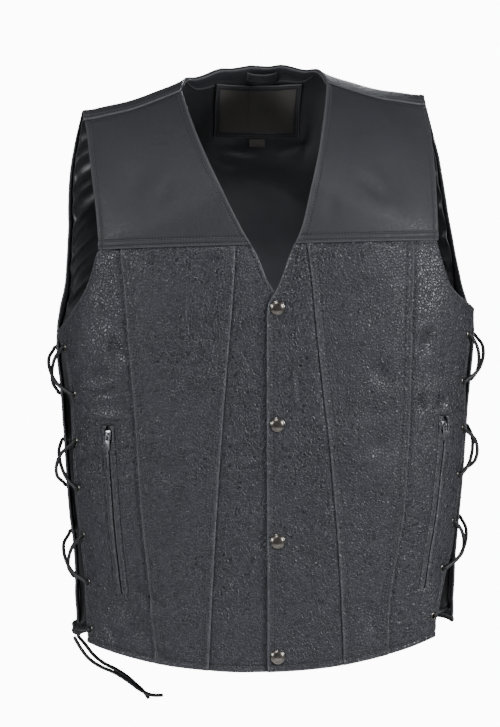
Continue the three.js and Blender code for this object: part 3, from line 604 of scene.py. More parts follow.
class Cloth:
    """A panel's fine grid: its spots, its points and normals, and how far each lies from each edge."""

    def __init__(self, side, inner, outer, bottom, top, start, across, up, pitch=(3.2, 3.2)):
        self.side = side
        self.edges = (inner, outer, bottom, top)
        self.start = start
        shares_u = np.linspace(0, 1, 33)
        shares_v = np.linspace(0, 1, 49)
        points = self._solve(*np.meshgrid(shares_u, shares_v)).posed()
        arc_u = self._arc(points, 1)
        arc_v = self._arc(points, 0)
        width = arc_u[:, -1]
        height = arc_v[-1, :]
        count_u = max(2, round((width.max() - across[0][-1] - across[1][-1]) / pitch[0]))
        count_v = max(2, round((height.max() - up[0][-1] - up[1][-1]) / pitch[1]))
        steps_u = np.array([places(*across, count_u, w) for w in width])
        steps_v = np.array([places(*up, count_v, h) for h in height])
        table_u = np.array([np.interp(steps_u[k], arc_u[k], shares_u) for k in range(len(shares_v))])
        table_v = np.array([np.interp(steps_v[k], arc_v[:, k], shares_v) for k in range(len(shares_u))])
        rows = table_v.shape[1]
        columns = table_u.shape[1]
        u = np.tile(table_u[len(shares_v) // 2], (rows, 1))
        v = np.zeros((rows, columns))
        for _ in range(4):
            for i in range(rows):
                v[i] = np.interp(u[i], shares_u, table_v[:, i])
            for j in range(columns):
                u[:, j] = np.interp(v[:, j], shares_v, table_u[:, j])
        self.u = u
        self.v = v
        self.from_inner = np.stack([np.interp(v[:, j], shares_v, steps_u[:, j]) for j in range(columns)], 1)
        self.from_bottom = np.stack([np.interp(u[i], shares_u, steps_v[:, i]) for i in range(rows)], 0)
        self.from_outer = np.interp(v, shares_v, width) - self.from_inner
        self.from_top = np.interp(u, shares_u, height) - self.from_bottom
        self.size = (float(width.max()), float(height.max()))
        self.spot = self._solve(u, v)
        self.base = surface(side, self.spot.turn, self.spot.path)
        self.normal = normal_of(side, self.spot.turn, self.spot.path, lambda t, p: surface(side, t, p))
        self.lift = np.zeros(u.shape)
        self.seam = np.zeros(u.shape)

    @staticmethod
    def _arc(points, axis):
        step = np.linalg.norm(np.diff(points, axis=axis), axis=-1)
        zero = np.zeros_like(np.take(step, [0], axis))
        return np.concatenate([zero, np.cumsum(step, axis)], axis)

    def _solve(self, u, v):
        inner, outer, bottom, top = self.edges
        spot = Spot(self.side, np.full(u.shape, float(self.start)), np.full(u.shape, 300.0))
        for _ in range(24):
            turn = lerp(inner(spot), outer(spot), u)
            path = lerp(bottom(spot), top(spot), v)
            spot = Spot(self.side, lerp(spot.turn, turn, 0.6), lerp(spot.path, path, 0.6))
        return spot

    def nearest_edge(self):
        edges = [self.from_inner, self.from_outer, self.from_bottom, self.from_top]
        return np.minimum.reduce(edges)

    def at(self, lift):
        """The grid's points at a lift, in metres."""
        return (self.base + self.normal * lift[..., None]) * MM

    def sewn(self, distances, at):
        """Marks a stitch row's groove, which holds the dye and the dirt; the leather also paints shade into it."""
        self.seam = np.maximum(self.seam, bell(distances - at, 0.9))

    def line(self, distances, at, along_rows, rise=0.3):
        """Points and normals of the grid along a stitch row, at a distance from one edge."""
        axis = 1 if along_rows else 0
        index = int(np.argmin(np.abs(np.median(distances, axis) - at)))
        take = (lambda grid: grid[index]) if along_rows else (lambda grid: grid[:, index])
        return take(self.at(self.lift + rise)), take(self.normal)


def turned(distance, rows=(6.0,), high=0.5):
    """Lift of a folded and stitched edge."""
    lift = high * (1 - smooth((distance - rows[-1] + 0.5) / 4)) - 1.1 * rounding(distance, 1.4)
    for row in rows:
        lift = lift - 0.75 * bell(distance - row, 0.9)
    return lift


def lapped(distance, rows):
    """Lift of an edge that laps over its neighbour."""
    lift = 0.95 * (1 - smooth((distance - rows[-1] * 0.5) / 9)) - 1.1 * rounding(distance, 1.3)
    for row in rows:
        lift = lift - 0.75 * bell(distance - row, 0.85)
    return lift


def under(distance):
    """Lift of an edge that lies under its neighbour."""
    return -1.7 * (1 - smooth(distance / 6.5))


def rolled(distance, sign=1):
    """Lift of a hem that is rolled up and stitched."""
    tube = 0.85 * np.sin(math.pi * np.clip(distance / 5.8, 0, 1)) ** 0.6 * (distance < 5.8)
    return tube * sign - 1.1 * rounding(distance, 1.1) - 0.6 * bell(distance - 6.3, 0.9)


def puckers(distance, along, row, seed, depth=0.65):
    return -depth * bell(distance - row, 4.2) * ripple(along, seed)


# Meshes

def shell_faces(rows, columns, mask=None):
    """Quads of a closed wall between two grids of points."""
    index = np.arange(rows * columns).reshape(rows, columns)
    if mask is None:
        mask = np.ones((rows - 1, columns - 1), bool)
    a, b, c, d = index[:-1, :-1], index[:-1, 1:], index[1:, 1:], index[1:, :-1]
    outer = np.stack([a, b, c, d], -1)[mask]
    inner = outer[:, ::-1] + rows * columns
    padded = np.zeros((rows + 1, columns + 1), bool)
    padded[1:-1, 1:-1] = mask
    rims = []
    for low, high, first, second in (
        (padded[:-1, 1:-1], padded[1:, 1:-1], index[:, :-1], index[:, 1:]),
        (padded[1:-1, 1:], padded[1:-1, :-1], index[:-1, :], index[1:, :]),
    ):
        starts = high & ~low
        ends = low & ~high
        rims.append(np.stack([first[starts], first[starts] + rows * columns,
                              second[starts] + rows * columns, second[starts]], -1))
        rims.append(np.stack([second[ends], second[ends] + rows * columns,
                              first[ends] + rows * columns, first[ends]], -1))
    return np.concatenate([outer, inner, *rims])


def signed_volume(vertices, faces):
    a, b, c, d = (vertices[faces[:, k]] for k in range(4))
    first = np.einsum("ij,ij->i", a, np.cross(b, c))
    second = np.einsum("ij,ij->i", a, np.cross(c, d))
    return float((first + second).sum())


def add_mesh(name, vertices, faces, angle=None):
    mesh = bpy.data.meshes.new(name)
    mesh.from_pydata(vertices.tolist(), [], [[int(i) for i in face] for face in faces])
    mesh.polygons.foreach_set("use_smooth", np.ones(len(mesh.polygons), bool))
    mesh.update()
    piece = bpy.data.objects.new(name, mesh)
    bpy.context.collection.objects.link(piece)
    if angle:
        choose(piece)
        bpy.ops.object.shade_smooth_by_angle(angle=angle * DEGREE)
    return piece


def shell(name, cloth, outer, inner, mask=None):
    """A closed wall of cloth between two lifts, with its edge wear and painted edge highlight, and its own map."""
    rows, columns = outer.shape
    vertices = np.concatenate([cloth.at(outer).reshape(-1, 3), cloth.at(inner).reshape(-1, 3)])
    faces = shell_faces(rows, columns, mask)
    if signed_volume(vertices, faces) < 0:
        faces = faces[:, ::-1]
    piece = add_mesh(name, vertices, faces)
    # The edge band: rubbed wear and a painted highlight along the edges
    add_values(piece, "wear", np.tile(bell(cloth.nearest_edge(), EDGE_WEAR_AND_HIGHLIGHT).reshape(-1), 2))
    # The groove mark: dirt and painted shade in the stitch grooves
    add_values(piece, "seam", np.tile(cloth.seam.reshape(-1), 2))
    along = np.stack([cloth.from_inner, cloth.from_bottom], -1).reshape(-1, 2)
    lay_map(piece, np.concatenate([along, along]) * MM)
    return piece


def add_values(piece, name, values):
    layer = piece.data.attributes.new(name, "FLOAT", "POINT")
    layer.data.foreach_set("value", values.astype(np.float32))


def lay_map(piece, places_in_metres):
    corners = np.zeros(len(piece.data.loops), np.int32)
    piece.data.loops.foreach_get("vertex_index", corners)
    layer = piece.data.uv_layers.new(name="cloth")
    layer.data.foreach_set("uv", places_in_metres[corners].astype(np.float32).reshape(-1))


def choose(*pieces):
    bpy.ops.object.select_all(action="DESELECT")
    for piece in pieces:
        piece.select_set(True)
    bpy.context.view_layer.objects.active = pieces[0]


def apply(piece, kind, **settings):
    choose(piece)
    modifier = piece.modifiers.new(kind.title(), kind)
    for name, value in settings.items():
        setattr(modifier, name, value)
    bpy.ops.object.modifier_apply(modifier=modifier.name)


def take_mesh(piece):
    """A piece's vertices and faces as arrays; the piece itself is removed."""
    count = len(piece.data.vertices)
    vertices = np.zeros(count * 3)
    piece.data.vertices.foreach_get("co", vertices)
    faces = [list(face.vertices) for face in piece.data.polygons]
    bpy.data.objects.remove(piece)
    return vertices.reshape(-1, 3), faces


def scatter(name, pattern, places_of_copies, angle=None):
    """One joined mesh of copies of a pattern, each at its own matrix."""
    vertices, faces = pattern
    matrices = np.array(places_of_copies)
    spread = np.einsum("nij,vj->nvi", matrices[:, :3, :3], vertices) + matrices[:, None, :3, 3]
    every = [[i + k * len(vertices) for i in face] for k in range(len(matrices)) for face in faces]
    return add_mesh(name, spread.reshape(-1, 3), every, angle)


def basis(origin, along, out):
    """Matrix with X along a line and Z out of the cloth."""
    along = unit(along)
    out = unit(out - along * np.dot(out, along))
    matrix = np.eye(4)
    matrix[:3, 0] = along
    matrix[:3, 1] = np.cross(out, along)
    matrix[:3, 2] = out
    matrix[:3, 3] = origin
    return matrix


def resample(points, count):
    step = np.linalg.norm(np.diff(points, axis=0), axis=1)
    arc = np.concatenate([[0], np.cumsum(step)])
    at = np.linspace(0, arc[-1], count)
    return np.stack([np.interp(at, arc, points[:, k]) for k in range(3)], 1), arc[-1]


def flowing(points, per_span=12):
    """A smooth line through every point of a route."""
    points = np.asarray(points, float)
    ends = np.concatenate([[2 * points[0] - points[1]], points, [2 * points[-1] - points[-2]]])
    knots = np.concatenate([[0], np.cumsum(np.linalg.norm(np.diff(ends, axis=0), axis=1) ** 0.5)])
    line = []
    for i in range(1, len(ends) - 2):
        t0, t1, t2, t3 = knots[i - 1:i + 3]
        for t in np.linspace(t1, t2, per_span, endpoint=False):
            a1 = lerp(ends[i - 1], ends[i], (t - t0) / (t1 - t0))
            a2 = lerp(ends[i], ends[i + 1], (t - t1) / (t2 - t1))
            a3 = lerp(ends[i + 1], ends[i + 2], (t - t2) / (t3 - t2))
            b1 = lerp(a1, a2, (t - t0) / (t2 - t0))
            b2 = lerp(a2, a3, (t - t1) / (t3 - t1))
            line.append(lerp(b1, b2, (t - t1) / (t2 - t1)))
    line.append(ends[-2])
    return np.array(line)


def tube(name, points, radius, sides=12, closed=False):
    """A round thong along a line, with softly cut ends."""
    count = len(points)
    if closed:
        tangents = unit(np.roll(points, -1, 0) - np.roll(points, 1, 0))
    else:
        tangents = unit(np.gradient(points, axis=0))
    up = np.cross(tangents[0], (0.3, 0.5, 0.8))
    ups = []
    for tangent in tangents:
        up = up - tangent * np.dot(up, tangent)
        up = up / np.linalg.norm(up)
        ups.append(up)
    ups = np.array(ups)
    sides_out = np.cross(tangents, ups)
    angles = np.arange(sides) / sides * 2 * math.pi
    if closed:
        twist = math.atan2(np.dot(ups[-1], sides_out[0]), np.dot(ups[-1], ups[0]))
        turn = -twist * np.arange(count) / (count - 1)
    else:
        turn = np.zeros(count)
    angle = angles[None, :] + turn[:, None]
    size = np.full(count, float(radius))
    if not closed:
        size[0] = size[-1] = radius * 0.8
    rings = (points[:, None] + size[:, None, None]
             * (np.cos(angle)[..., None] * ups[:, None] + np.sin(angle)[..., None] * sides_out[:, None]))
    index = np.arange(count * sides).reshape(count, sides)
    last = count if closed else count - 1
    faces = []
    for i in range(last):
        for k in range(sides):
            following = (i + 1) % count
            faces.append([index[i, k], index[following, k],
                          index[following, (k + 1) % sides], index[i, (k + 1) % sides]])
    if not closed:
        faces.append(list(index[0]))
        faces.append(list(index[-1][::-1]))
    vertices = rings.reshape(-1, 3)
    quads = np.array([face for face in faces if len(face) == 4])
    if signed_volume(vertices - vertices.mean(0), quads) < 0:
        faces = [face[::-1] for face in faces]
    piece = add_mesh(name, vertices, faces, 50)
    arc = np.concatenate([[0], np.cumsum(np.linalg.norm(np.diff(points, axis=0), axis=1))])
    around = np.tile(angles * radius, (count, 1))
    lay_map(piece, np.stack([np.repeat(arc, sides), around.reshape(-1)], -1))
    return piece


# Materials

class Wire:
    """A shader value that Python arithmetic turns into Math nodes."""

    def __init__(self, finish, socket):
        self.finish = finish
        self.socket = socket

    def _math(self, operation, *values):
        sockets = {i: value for i, value in enumerate(values)}
        return self.finish.node("ShaderNodeMath", {"operation": operation}, sockets)[0]

    def __add__(self, other):
        return self._math("ADD", self, other)

    __radd__ = __add__

    def __sub__(self, other):
        return self._math("SUBTRACT", self, other)

    def __rsub__(self, other):
        return self._math("SUBTRACT", other, self)

    def __mul__(self, other):
        return self._math("MULTIPLY", self, other)

    __rmul__ = __mul__

    def clamped(self, low=0.0, high=1.0):
        return self._math("MINIMUM", self._math("MAXIMUM", self, low), high)


class Outputs:
    def __init__(self, finish, node):
        self.finish = finish
        self.node = node

    def __getitem__(self, key):
        return Wire(self.finish, self.node.outputs[key])


class Finish:
    """A material made of nodes, for one slot of the record."""

    def __init__(self, slot, metallic=0.0, **constants):
        self.slot = slot
        self.material = bpy.data.materials.new(slot)
        self.material.use_nodes = True
        self.tree = self.material.node_tree
        self.tree.nodes.clear()
        self.shader = self.tree.nodes.new("ShaderNodeBsdfPrincipled")
        self.shader.inputs["Metallic"].default_value = metallic
        for name, value in constants.items():
            self.shader.inputs[name.replace("_", " ")].default_value = value
        end = self.tree.nodes.new("ShaderNodeOutputMaterial")
        self.tree.links.new(self.shader.outputs[0], end.inputs[0])

    def node(self, kind, settings=None, sockets=None):
        made = self.tree.nodes.new(kind)
        for name, value in (settings or {}).items():
            setattr(made, name, value)
        for name, value in (sockets or {}).items():
            self.feed(made.inputs[name], value)
        return Outputs(self, made)

    def feed(self, socket, value):
        if isinstance(value, Wire):
            self.tree.links.new(value.socket, socket)
        elif hasattr(value, "__len__") and len(value) == 3 and len(socket.default_value) == 4:
            socket.default_value = (*value, 1)
        else:
            socket.default_value = value

    def place(self):
        return self.node("ShaderNodeTexCoord")["Object"]

    def map_of_cloth(self):
        return self.node("ShaderNodeUVMap", {"uv_map": "cloth"})["UV"]

    def value_of(self, attribute):
        return self.node("ShaderNodeAttribute", {"attribute_name": attribute})["Fac"]

    def noise(self, where, scale, detail=2.0, roughness=0.5):
        sockets = {"Vector": where, "Scale": scale, "Detail": detail, "Roughness": roughness}
        return self.node("ShaderNodeTexNoise", {}, sockets)["Fac"]

    def stretched(self, where, scale):
        return self.node("ShaderNodeMapping", {}, {"Vector": where, "Scale": scale})["Vector"]

    def between(self, low, high, share):
        """A colour between two colours."""
        mix = self.node("ShaderNodeMix", {"data_type": "RGBA"})
        self.feed(mix.node.inputs["Factor"], share)
        self.feed(mix.node.inputs[6], low)
        self.feed(mix.node.inputs[7], high)
        return mix[2]

    def eased(self, value, low, high):
        """0 below low, 1 above high, smooth between."""
        settings = {"interpolation_type": "SMOOTHSTEP"}
        return self.node("ShaderNodeMapRange", settings, {"Value": value, "From Min": low, "From Max": high})[0]

    def set(self, name, value):
        self.feed(self.shader.inputs[name], value)

    def bump(self, height, distance, strength=1.0):
        sockets = {"Height": height, "Distance": distance, "Strength": strength}
        self.set("Normal", self.node("ShaderNodeBump", {}, sockets)["Normal"])


def tinted(colour, factor):
    return tuple(channel * factor for channel in colour)


def leather(slot, colour, pebble, depth, gloss, contrast):
    """Black hide: pebbles with creases between them painted darker as shade, pores, cloudy dye, seams darkened by dirt
    and painted shade, and edges lightened by wear and a painted highlight.
    """
    finish = Finish(slot, Specular_IOR_Level=0.62)
    where = finish.place()
    wander = finish.node("ShaderNodeTexNoise", {}, {"Vector": where, "Scale": 160.0, "Detail": 2.0})["Color"]
    shift = finish.node("ShaderNodeVectorMath", {"operation": "SCALE"}, {"Vector": wander, "Scale": pebble * 1.2})
    moved = finish.node("ShaderNodeVectorMath", {"operation": "ADD"}, {0: where, 1: shift["Vector"]})["Vector"]
    spread = {"Vector": moved, "Scale": 1 / pebble}
    creases = finish.node("ShaderNodeTexVoronoi", {"feature": "DISTANCE_TO_EDGE"}, spread)["Distance"]
    cells = finish.node("ShaderNodeTexVoronoi", {"feature": "F1"}, spread)["Color"]
    cell = finish.node("ShaderNodeSeparateColor", {}, {"Color": cells})["Red"]
    dome = finish.eased(creases, 0.0, 0.24)
    fine = finish.noise(where, 2400.0, 3.0, 0.6)
    cloudy = finish.noise(where, 19.0, 3.0, 0.55)
    patch = finish.noise(where, 95.0, 2.0)
    wear = finish.value_of("wear")
    seam = finish.value_of("seam")
    blue = (colour[0] * 1.25, colour[1] * 1.22, colour[2] * 1.42)
    tone = finish.between(tinted(colour, 0.72), blue, finish.eased(cloudy, 0.34, 0.66))
    # Painted shade: the creases between the pebbles are painted darker; each pebble's own tone differs at random
    grain = (dome * 0.6 + cell * 0.6 - 0.2).clamped()
    speckled_with_crease_shade = finish.between(tinted(colour, 1 - contrast), tinted(colour, 1 + contrast), grain)
    pebbled = finish.between(tone, speckled_with_crease_shade, 0.8)
    # Painted shade: stitch grooves are darker, partly from dirt and partly from painted groove shade
    dirt_and_groove_shade = finish.between(pebbled, tinted(colour, 0.25), seam * 0.75)
    # Painted highlight: the edges are lighter, partly from rubbed wear and partly from a painted highlight on the
    # rolled edges
    rubbed_and_highlit = (colour[0] * 7.2, colour[1] * 7.2, colour[2] * 5.9)
    finish.set("Base Color", finish.between(dirt_and_groove_shade, rubbed_and_highlit, (wear * (0.35 + 0.5 * patch)).clamped()))
    rough = gloss + (cloudy - 0.5) * 0.2 + (1 - dome) * 0.2 + (cell - 0.5) * 0.14 + seam * 0.2 - wear * 0.06
    finish.set("Roughness", rough.clamped(0.22, 0.9))
    finish.bump(dome * (cell * 0.35 + 0.7) + fine * 0.25 + patch * 0.6, depth)
    return finish


def satin(slot, colour):
    """Lining satin: long floats that shine across the cloth, over a fine twill."""
    finish = Finish(slot, Specular_IOR_Level=0.8, Sheen_Weight=0.2, Sheen_Roughness=0.35)
    where = finish.map_of_cloth()
    floats = finish.noise(finish.stretched(where, (260.0, 5200.0, 1.0)), 1.0, 2.0)
    slubs = finish.noise(finish.stretched(where, (30.0, 900.0, 1.0)), 1.0, 2.0)
    cloudy = finish.noise(finish.place(), 30.0, 2.0)
    finish.set("Base Color", finish.between(tinted(colour, 0.7), tinted(colour, 1.5), slubs * 0.6 + cloudy * 0.4))
    finish.set("Roughness", (0.3 + floats * 0.14 + cloudy * 0.08).clamped())
    finish.bump(floats * 0.6 + slubs * 0.6, 0.00012)
    return finish


def woven(slot, colour, pitch):
    """A plain weave with its threads over and under each other."""
    finish = Finish(slot)
    where = finish.map_of_cloth()
    split = finish.node("ShaderNodeSeparateXYZ", {}, {"Vector": where})
    turns = 2 * math.pi / pitch
    warp = finish.node("ShaderNodeMath", {"operation": "SINE"}, {0: split["X"] * turns})[0]
    weft = finish.node("ShaderNodeMath", {"operation": "SINE"}, {0: split["Y"] * turns})[0]
    thread = warp * weft * 0.5 + 0.5
    slub = finish.noise(finish.place(), 420.0, 2.0)
    finish.set("Base Color", finish.between(tinted(colour, 0.6), tinted(colour, 1.35), thread * 0.6 + slub * 0.4))
    finish.set("Roughness", (0.62 + slub * 0.2).clamped())
    finish.bump(thread + slub * 0.4, 0.0001)
    return finish


def thong_leather(slot, colour):
    finish = Finish(slot)
    where = finish.map_of_cloth()
    grain = finish.noise(finish.stretched(where, (500.0, 1500.0, 1.0)), 1.0, 3.0, 0.6)
    cloudy = finish.noise(finish.place(), 60.0, 2.0)
    finish.set("Base Color", finish.between(tinted(colour, 0.6), tinted(colour, 1.8), grain * 0.5 + cloudy * 0.5))
    finish.set("Roughness", (0.42 + grain * 0.24).clamped())
    finish.bump(grain, 0.00025)
    return finish


def metal(slot, dark, bright, roughness):
    """Plated metal: bright where it rubs and where a highlight is painted, darker in its hollows."""
    finish = Finish(slot, metallic=1.0)
    where = finish.place()
    stain = finish.noise(where, 260.0, 4.0, 0.65)
    fine = finish.noise(where, 2600.0, 2.0)
    # On the snaps this mark is a painted highlight on the dome's crown and rim
    rubbed_and_highlit = finish.value_of("wear")
    share = finish.eased(stain * 0.6 + rubbed_and_highlit * 0.55, 0.2, 0.85)
    finish.set("Base Color", finish.between(dark, bright, share))
    finish.set("Roughness", (roughness + stain * 0.2 - share * 0.1).clamped(0.08, 0.8))
    finish.bump(fine * 0.5 + stain * 0.5, 0.00004)
    return finish


def thread_finish(colour):
    finish = Finish("smooth_leather")
    finish.material.name = "thread"
    fuzz = finish.noise(finish.place(), 3000.0, 2.0)
    finish.set("Base Color", finish.between(tinted(colour, 0.6), tinted(colour, 1.4), fuzz))
    finish.set("Roughness", (0.45 + fuzz * 0.3).clamped())
    finish.bump(fuzz, 0.0001)
    return finish


FINISHES = {}


def dress(piece, finish_name, body="vest", replaces=()):
    """Gives a piece its finish, its body and the nodes that it stands for."""
    finish = FINISHES[finish_name]
    piece.data.materials.clear()
    piece.data.materials.append(finish.material)
    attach(piece, body)
    if replaces:
        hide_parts(*replaces)
    return piece


# Sewing

def stitch_places(rows, pitch, length, thick):
    """Matrices of the stitches along rows of points and normals."""
    found = []
    for points, normals in rows:
        step = np.linalg.norm(np.diff(points, axis=0), axis=1)
        arc = np.concatenate([[0], np.cumsum(step)])
        count = int(arc[-1] / pitch)
        if count < 2:
            continue
        centres = (np.arange(count) + 0.5) * arc[-1] / count
        half = length / 2
        at = [np.stack([np.interp(centres + shift, arc, points[:, k]) for k in range(3)], 1)
              for shift in (-half, 0, half)]
        out = np.stack([np.interp(centres, arc, normals[:, k]) for k in range(3)], 1)
        for before, middle, after, up in zip(at[0], at[1], at[2], out):
            matrix = basis(middle, after - before, up)
            found.append(matrix @ np.diag([half, thick, thick * 0.8, 1]))
    return found


def stitch_pattern():
    bpy.ops.object.select_all(action="DESELECT")
    bpy.ops.mesh.primitive_uv_sphere_add(segments=6, ring_count=4, radius=1)
    piece = bpy.context.object
    piece.data.transform(Matrix.Rotation(math.pi / 2, 4, "Y"))
    return take_mesh(piece)


def sew(name, rows):
    sizes = bpy.context.scene.vest_sizes
    places_found = stitch_places(rows, sizes.stitch_pitch, sizes.stitch_length, sizes.thread / 2)
    piece = scatter(name, stitch_pattern(), places_found)
    return dress(piece, "thread")


# Edges shared by the panels

def edge_turn(hand, distance, offset=0):
    return lambda spot: turn_at(HANDS[hand] * (distance(spot.z) + offset), spot.z)


def hem_height(x):
    return HEM_Z + HEM_RISE * (x / HEM_HALF) ** 2


def front_hem(spot):
    return path_at(spot.x, hem_height(spot.x))


def yoke_line(offset):
    return lambda spot: path_at(spot.x, YOKE_SEAM_Z) + offset


def lap_lift(hand, spot):
    """The right front dips where the left front laps over it."""
    if hand == "left":
        return np.zeros(spot.x.shape)
    return -LAP_DROP * smooth((spot.x + 42) / 24) * smooth((-150 - spot.z) / 40)


SHOULDER_PATH = float(path_at(104, ridge_out(104) - SHOULDER_SEAM_DROP))


def leather_walls(name, cloth, lift, finish_name, replaces, sewn):
    """The two faces of a leather panel from its lift, and its stitch rows."""
    cloth.lift = lift
    for distances, at, _ in sewn:
        cloth.sewn(distances, at)
    thick = LEATHER - 1.0 * rounding(cloth.nearest_edge(), 1.4)
    piece = shell(name, cloth, lift, lift - thick)
    dress(piece, finish_name, replaces=replaces)
    return piece, [cloth.line(*row) for row in sewn]


def yoke_panel(hand):
    cloth = Cloth(FRONT, edge_turn(hand, front_edge[hand]), edge_turn(hand, armhole_front[hand]),
                  yoke_line(LAP_REACH), lambda spot: np.full(spot.x.shape, SHOULDER_PATH + 0.5),
                  HANDS[hand] * 0.4, (TURNED_LINES, TURNED_LINES), (TWO_ROW_LINES, UNDER_LINES))
    lift = (lap_lift(hand, cloth.spot) + turned(cloth.from_inner) + turned(cloth.from_outer)
            + lapped(cloth.from_bottom, (2.8, 9.1)) + under(cloth.from_top)
            + puckers(cloth.from_inner, cloth.from_bottom, 6, 1) + puckers(cloth.from_outer, cloth.from_bottom, 6, 2)
            + puckers(cloth.from_bottom, cloth.from_inner, 6, 3))
    sewn = [(cloth.from_inner, 6.0, False), (cloth.from_outer, 6.0, False),
            (cloth.from_bottom, 2.8, True), (cloth.from_bottom, 9.1, True)]
    return leather_walls(f"yoke_panel_{hand}", cloth, lift, "smooth_leather", [f"yoke_{hand}"], sewn)


def centre_panel(hand):
    cloth = Cloth(FRONT, edge_turn(hand, front_edge[hand]), edge_turn(hand, inner_seam[hand], -0.15),
                  front_hem, yoke_line(0.15), HANDS[hand] * 0.1,
                  (TURNED_LINES, UNDER_LINES), (HEM_LINES, UNDER_LINES))
    tucked = np.minimum(under(cloth.from_outer), under(cloth.from_top))
    lift = (lap_lift(hand, cloth.spot) + turned(cloth.from_inner) + tucked + rolled(cloth.from_bottom)
            + puckers(cloth.from_inner, cloth.from_bottom, 6, 4) + puckers(cloth.from_bottom, cloth.from_inner, 7, 5))
    sewn = [(cloth.from_inner, 6.0, False), (cloth.from_bottom, 6.3, True)]
    return leather_walls(f"centre_panel_{hand}", cloth, lift, "pebbled_leather", [f"front_centre_{hand}"], sewn)


def middle_panel(hand):
    cloth = Cloth(FRONT, edge_turn(hand, inner_seam[hand], -LAP_REACH), edge_turn(hand, outer_seam[hand], LAP_REACH),
                  front_hem, yoke_line(0.15), HANDS[hand] * 0.4,
                  (ONE_ROW_LINES, TWO_ROW_LINES), (HEM_LINES, UNDER_LINES))
    lift = (lap_lift(hand, cloth.spot) + lapped(cloth.from_inner, (7.0,)) + lapped(cloth.from_outer, (2.8, 9.1))
            + under(cloth.from_top) + rolled(cloth.from_bottom)
            + puckers(cloth.from_inner, cloth.from_bottom, 5, 6) + puckers(cloth.from_outer, cloth.from_bottom, 6, 7)
            + puckers(cloth.from_bottom, cloth.from_inner, 7, 8))
    sewn = [(cloth.from_inner, 7.0, False), (cloth.from_outer, 2.8, False),
            (cloth.from_outer, 9.1, False), (cloth.from_bottom, 6.3, True)]
    return leather_walls(f"middle_panel_{hand}", cloth, lift, "pebbled_leather", [f"front_middle_{hand}"], sewn)


def window_distance(hand, spot):
    """How far a spot lies outside the pocket's window, on the cloth."""
    top, bottom = POCKET_ENDS[hand]
    across = np.abs(np.abs(spot.x) - pocket_line[hand](spot.z)) / POCKET_SLANT - WINDOW_HALF
    along = np.maximum(spot.z - top, bottom - spot.z)
    outside = np.hypot(np.maximum(across, 0), np.maximum(along, 0))
    return np.where((across < 0) & (along < 0), np.maximum(across, along), outside)


def side_panel(hand):
    cloth = Cloth(FRONT, edge_turn(hand, outer_seam[hand], 0.15),
                  lambda spot: HANDS[hand] * side_edge[hand](spot.z) * DEGREE,
                  front_hem, lambda spot: path_at(spot.x, armpit[hand](np.abs(spot.x))) + 0.15,
                  HANDS[hand] * 0.9, (UNDER_LINES, TURNED_LINES), (HEM_LINES, TURNED_LINES), (1.7, 2.6))
    free = smooth((np.abs(cloth.spot.x) - 176) / 6)
    window = window_distance(hand, cloth.spot)
    pocket = 0.4 * bell(window - 4, 3) - 1.2 * rounding(np.maximum(window, 0), 2.2) - 0.35 * bell(window - 3, 1.3)
    top = free * turned(cloth.from_top) + (1 - free) * under(cloth.from_top)
    lift = (np.minimum(under(cloth.from_inner), 0) + top + turned(cloth.from_outer) + rolled(cloth.from_bottom)
            + pocket + puckers(cloth.from_outer, cloth.from_bottom, 6, 9)
            + puckers(cloth.from_bottom, cloth.from_inner, 7, 10)
            + puckers(cloth.from_top, cloth.from_inner, 6, 11) * free)
    sewn = [(cloth.from_outer, 6.0, False), (cloth.from_bottom, 6.3, True)]
    # Dirt and painted shade in the grooves round the pocket window and along the top stitch row
    cloth.seam = np.maximum(bell(window - 3, 1.0), free * bell(cloth.from_top - 6, 0.9))
    piece, rows = leather_walls(f"side_panel_{hand}", cloth, lift, "pebbled_leather", [f"front_side_{hand}"], sewn)
    cutters = [punch(front_eyelet(hand, z)) for z in eyelet_heights()]
    cutters.append(window_cutter(hand))
    carve(piece, cutters)
    points, normals = cloth.line(cloth.from_top, 6.0, True)
    edge = cloth.spot.x[-1]
    keep = np.abs(edge) > 179
    return piece, [*rows, (points[keep], normals[keep]), *window_stitches(hand)]


def window_stitches(hand):
    """The row sewn round the pocket's window."""
    top, bottom = POCKET_ENDS[hand]
    out = 3.0
    heights = np.linspace(top + out, bottom - out, 90)
    line = pocket_line[hand]
    near = line(heights) - (WINDOW_HALF + out) * POCKET_SLANT
    far = line(heights) + (WINDOW_HALF + out) * POCKET_SLANT
    routes = [(near, heights), (far, heights)]
    for z in (top + out, bottom - out):
        across = np.linspace(-1, 1, 12) * (WINDOW_HALF + out) * POCKET_SLANT + line(z)
        routes.append((across, np.full(across.shape, z)))
    rows = []
    for out_from_middle, z in routes:
        x = HANDS[hand] * out_from_middle
        turn, path = turn_at(x, z), path_at(x, z)
        normal = normal_of(FRONT, turn, path, lambda t, p: surface(FRONT, t, p))
        rows.append((skin(FRONT, turn, path, np.full(x.shape, 0.2)) * MM, normal))
    return rows


def punch(eyelet):
    """A cylinder through an eyelet, to cut its hole."""
    low = at_eyelet(eyelet, -6)
    high = at_eyelet(eyelet, 4)
    bpy.ops.object.select_all(action="DESELECT")
    bpy.ops.mesh.primitive_cylinder_add(vertices=20, radius=HOLE_RADIUS * MM, depth=PUNCH_DEPTH)
    piece = bpy.context.object
    aim = Vector(high - low).to_track_quat("Z", "Y").to_matrix().to_4x4()
    piece.data.transform(Matrix.Translation((low + high) / 2) @ aim)
    return piece


def window_cutter(hand):
    cloth = pocket_strip(hand, lambda share: -WINDOW_HALF, lambda share: WINDOW_HALF, 0,
                         ((0, 2), (0, 2)), ((0, 3), (0, 3)))
    return shell("window", cloth, np.full(cloth.u.shape, 4.0), np.full(cloth.u.shape, -7.0))


def carve(piece, cutters):
    choose(*cutters)
    bpy.ops.object.join()
    tool = bpy.context.view_layer.objects.active
    apply(piece, "BOOLEAN", object=tool, operation="DIFFERENCE", solver="EXACT")
    bpy.data.objects.remove(tool)
    choose(piece)
    bpy.ops.object.shade_smooth_by_angle(angle=50 * DEGREE)


# Pockets

def gap_half(share):
    """Half of the gap between the lips: it opens round the slider."""
    return ZIP_GAP / 2 + 4.4 * np.exp(-(((share - SLIDER_SHARE) / 0.05) ** 4))


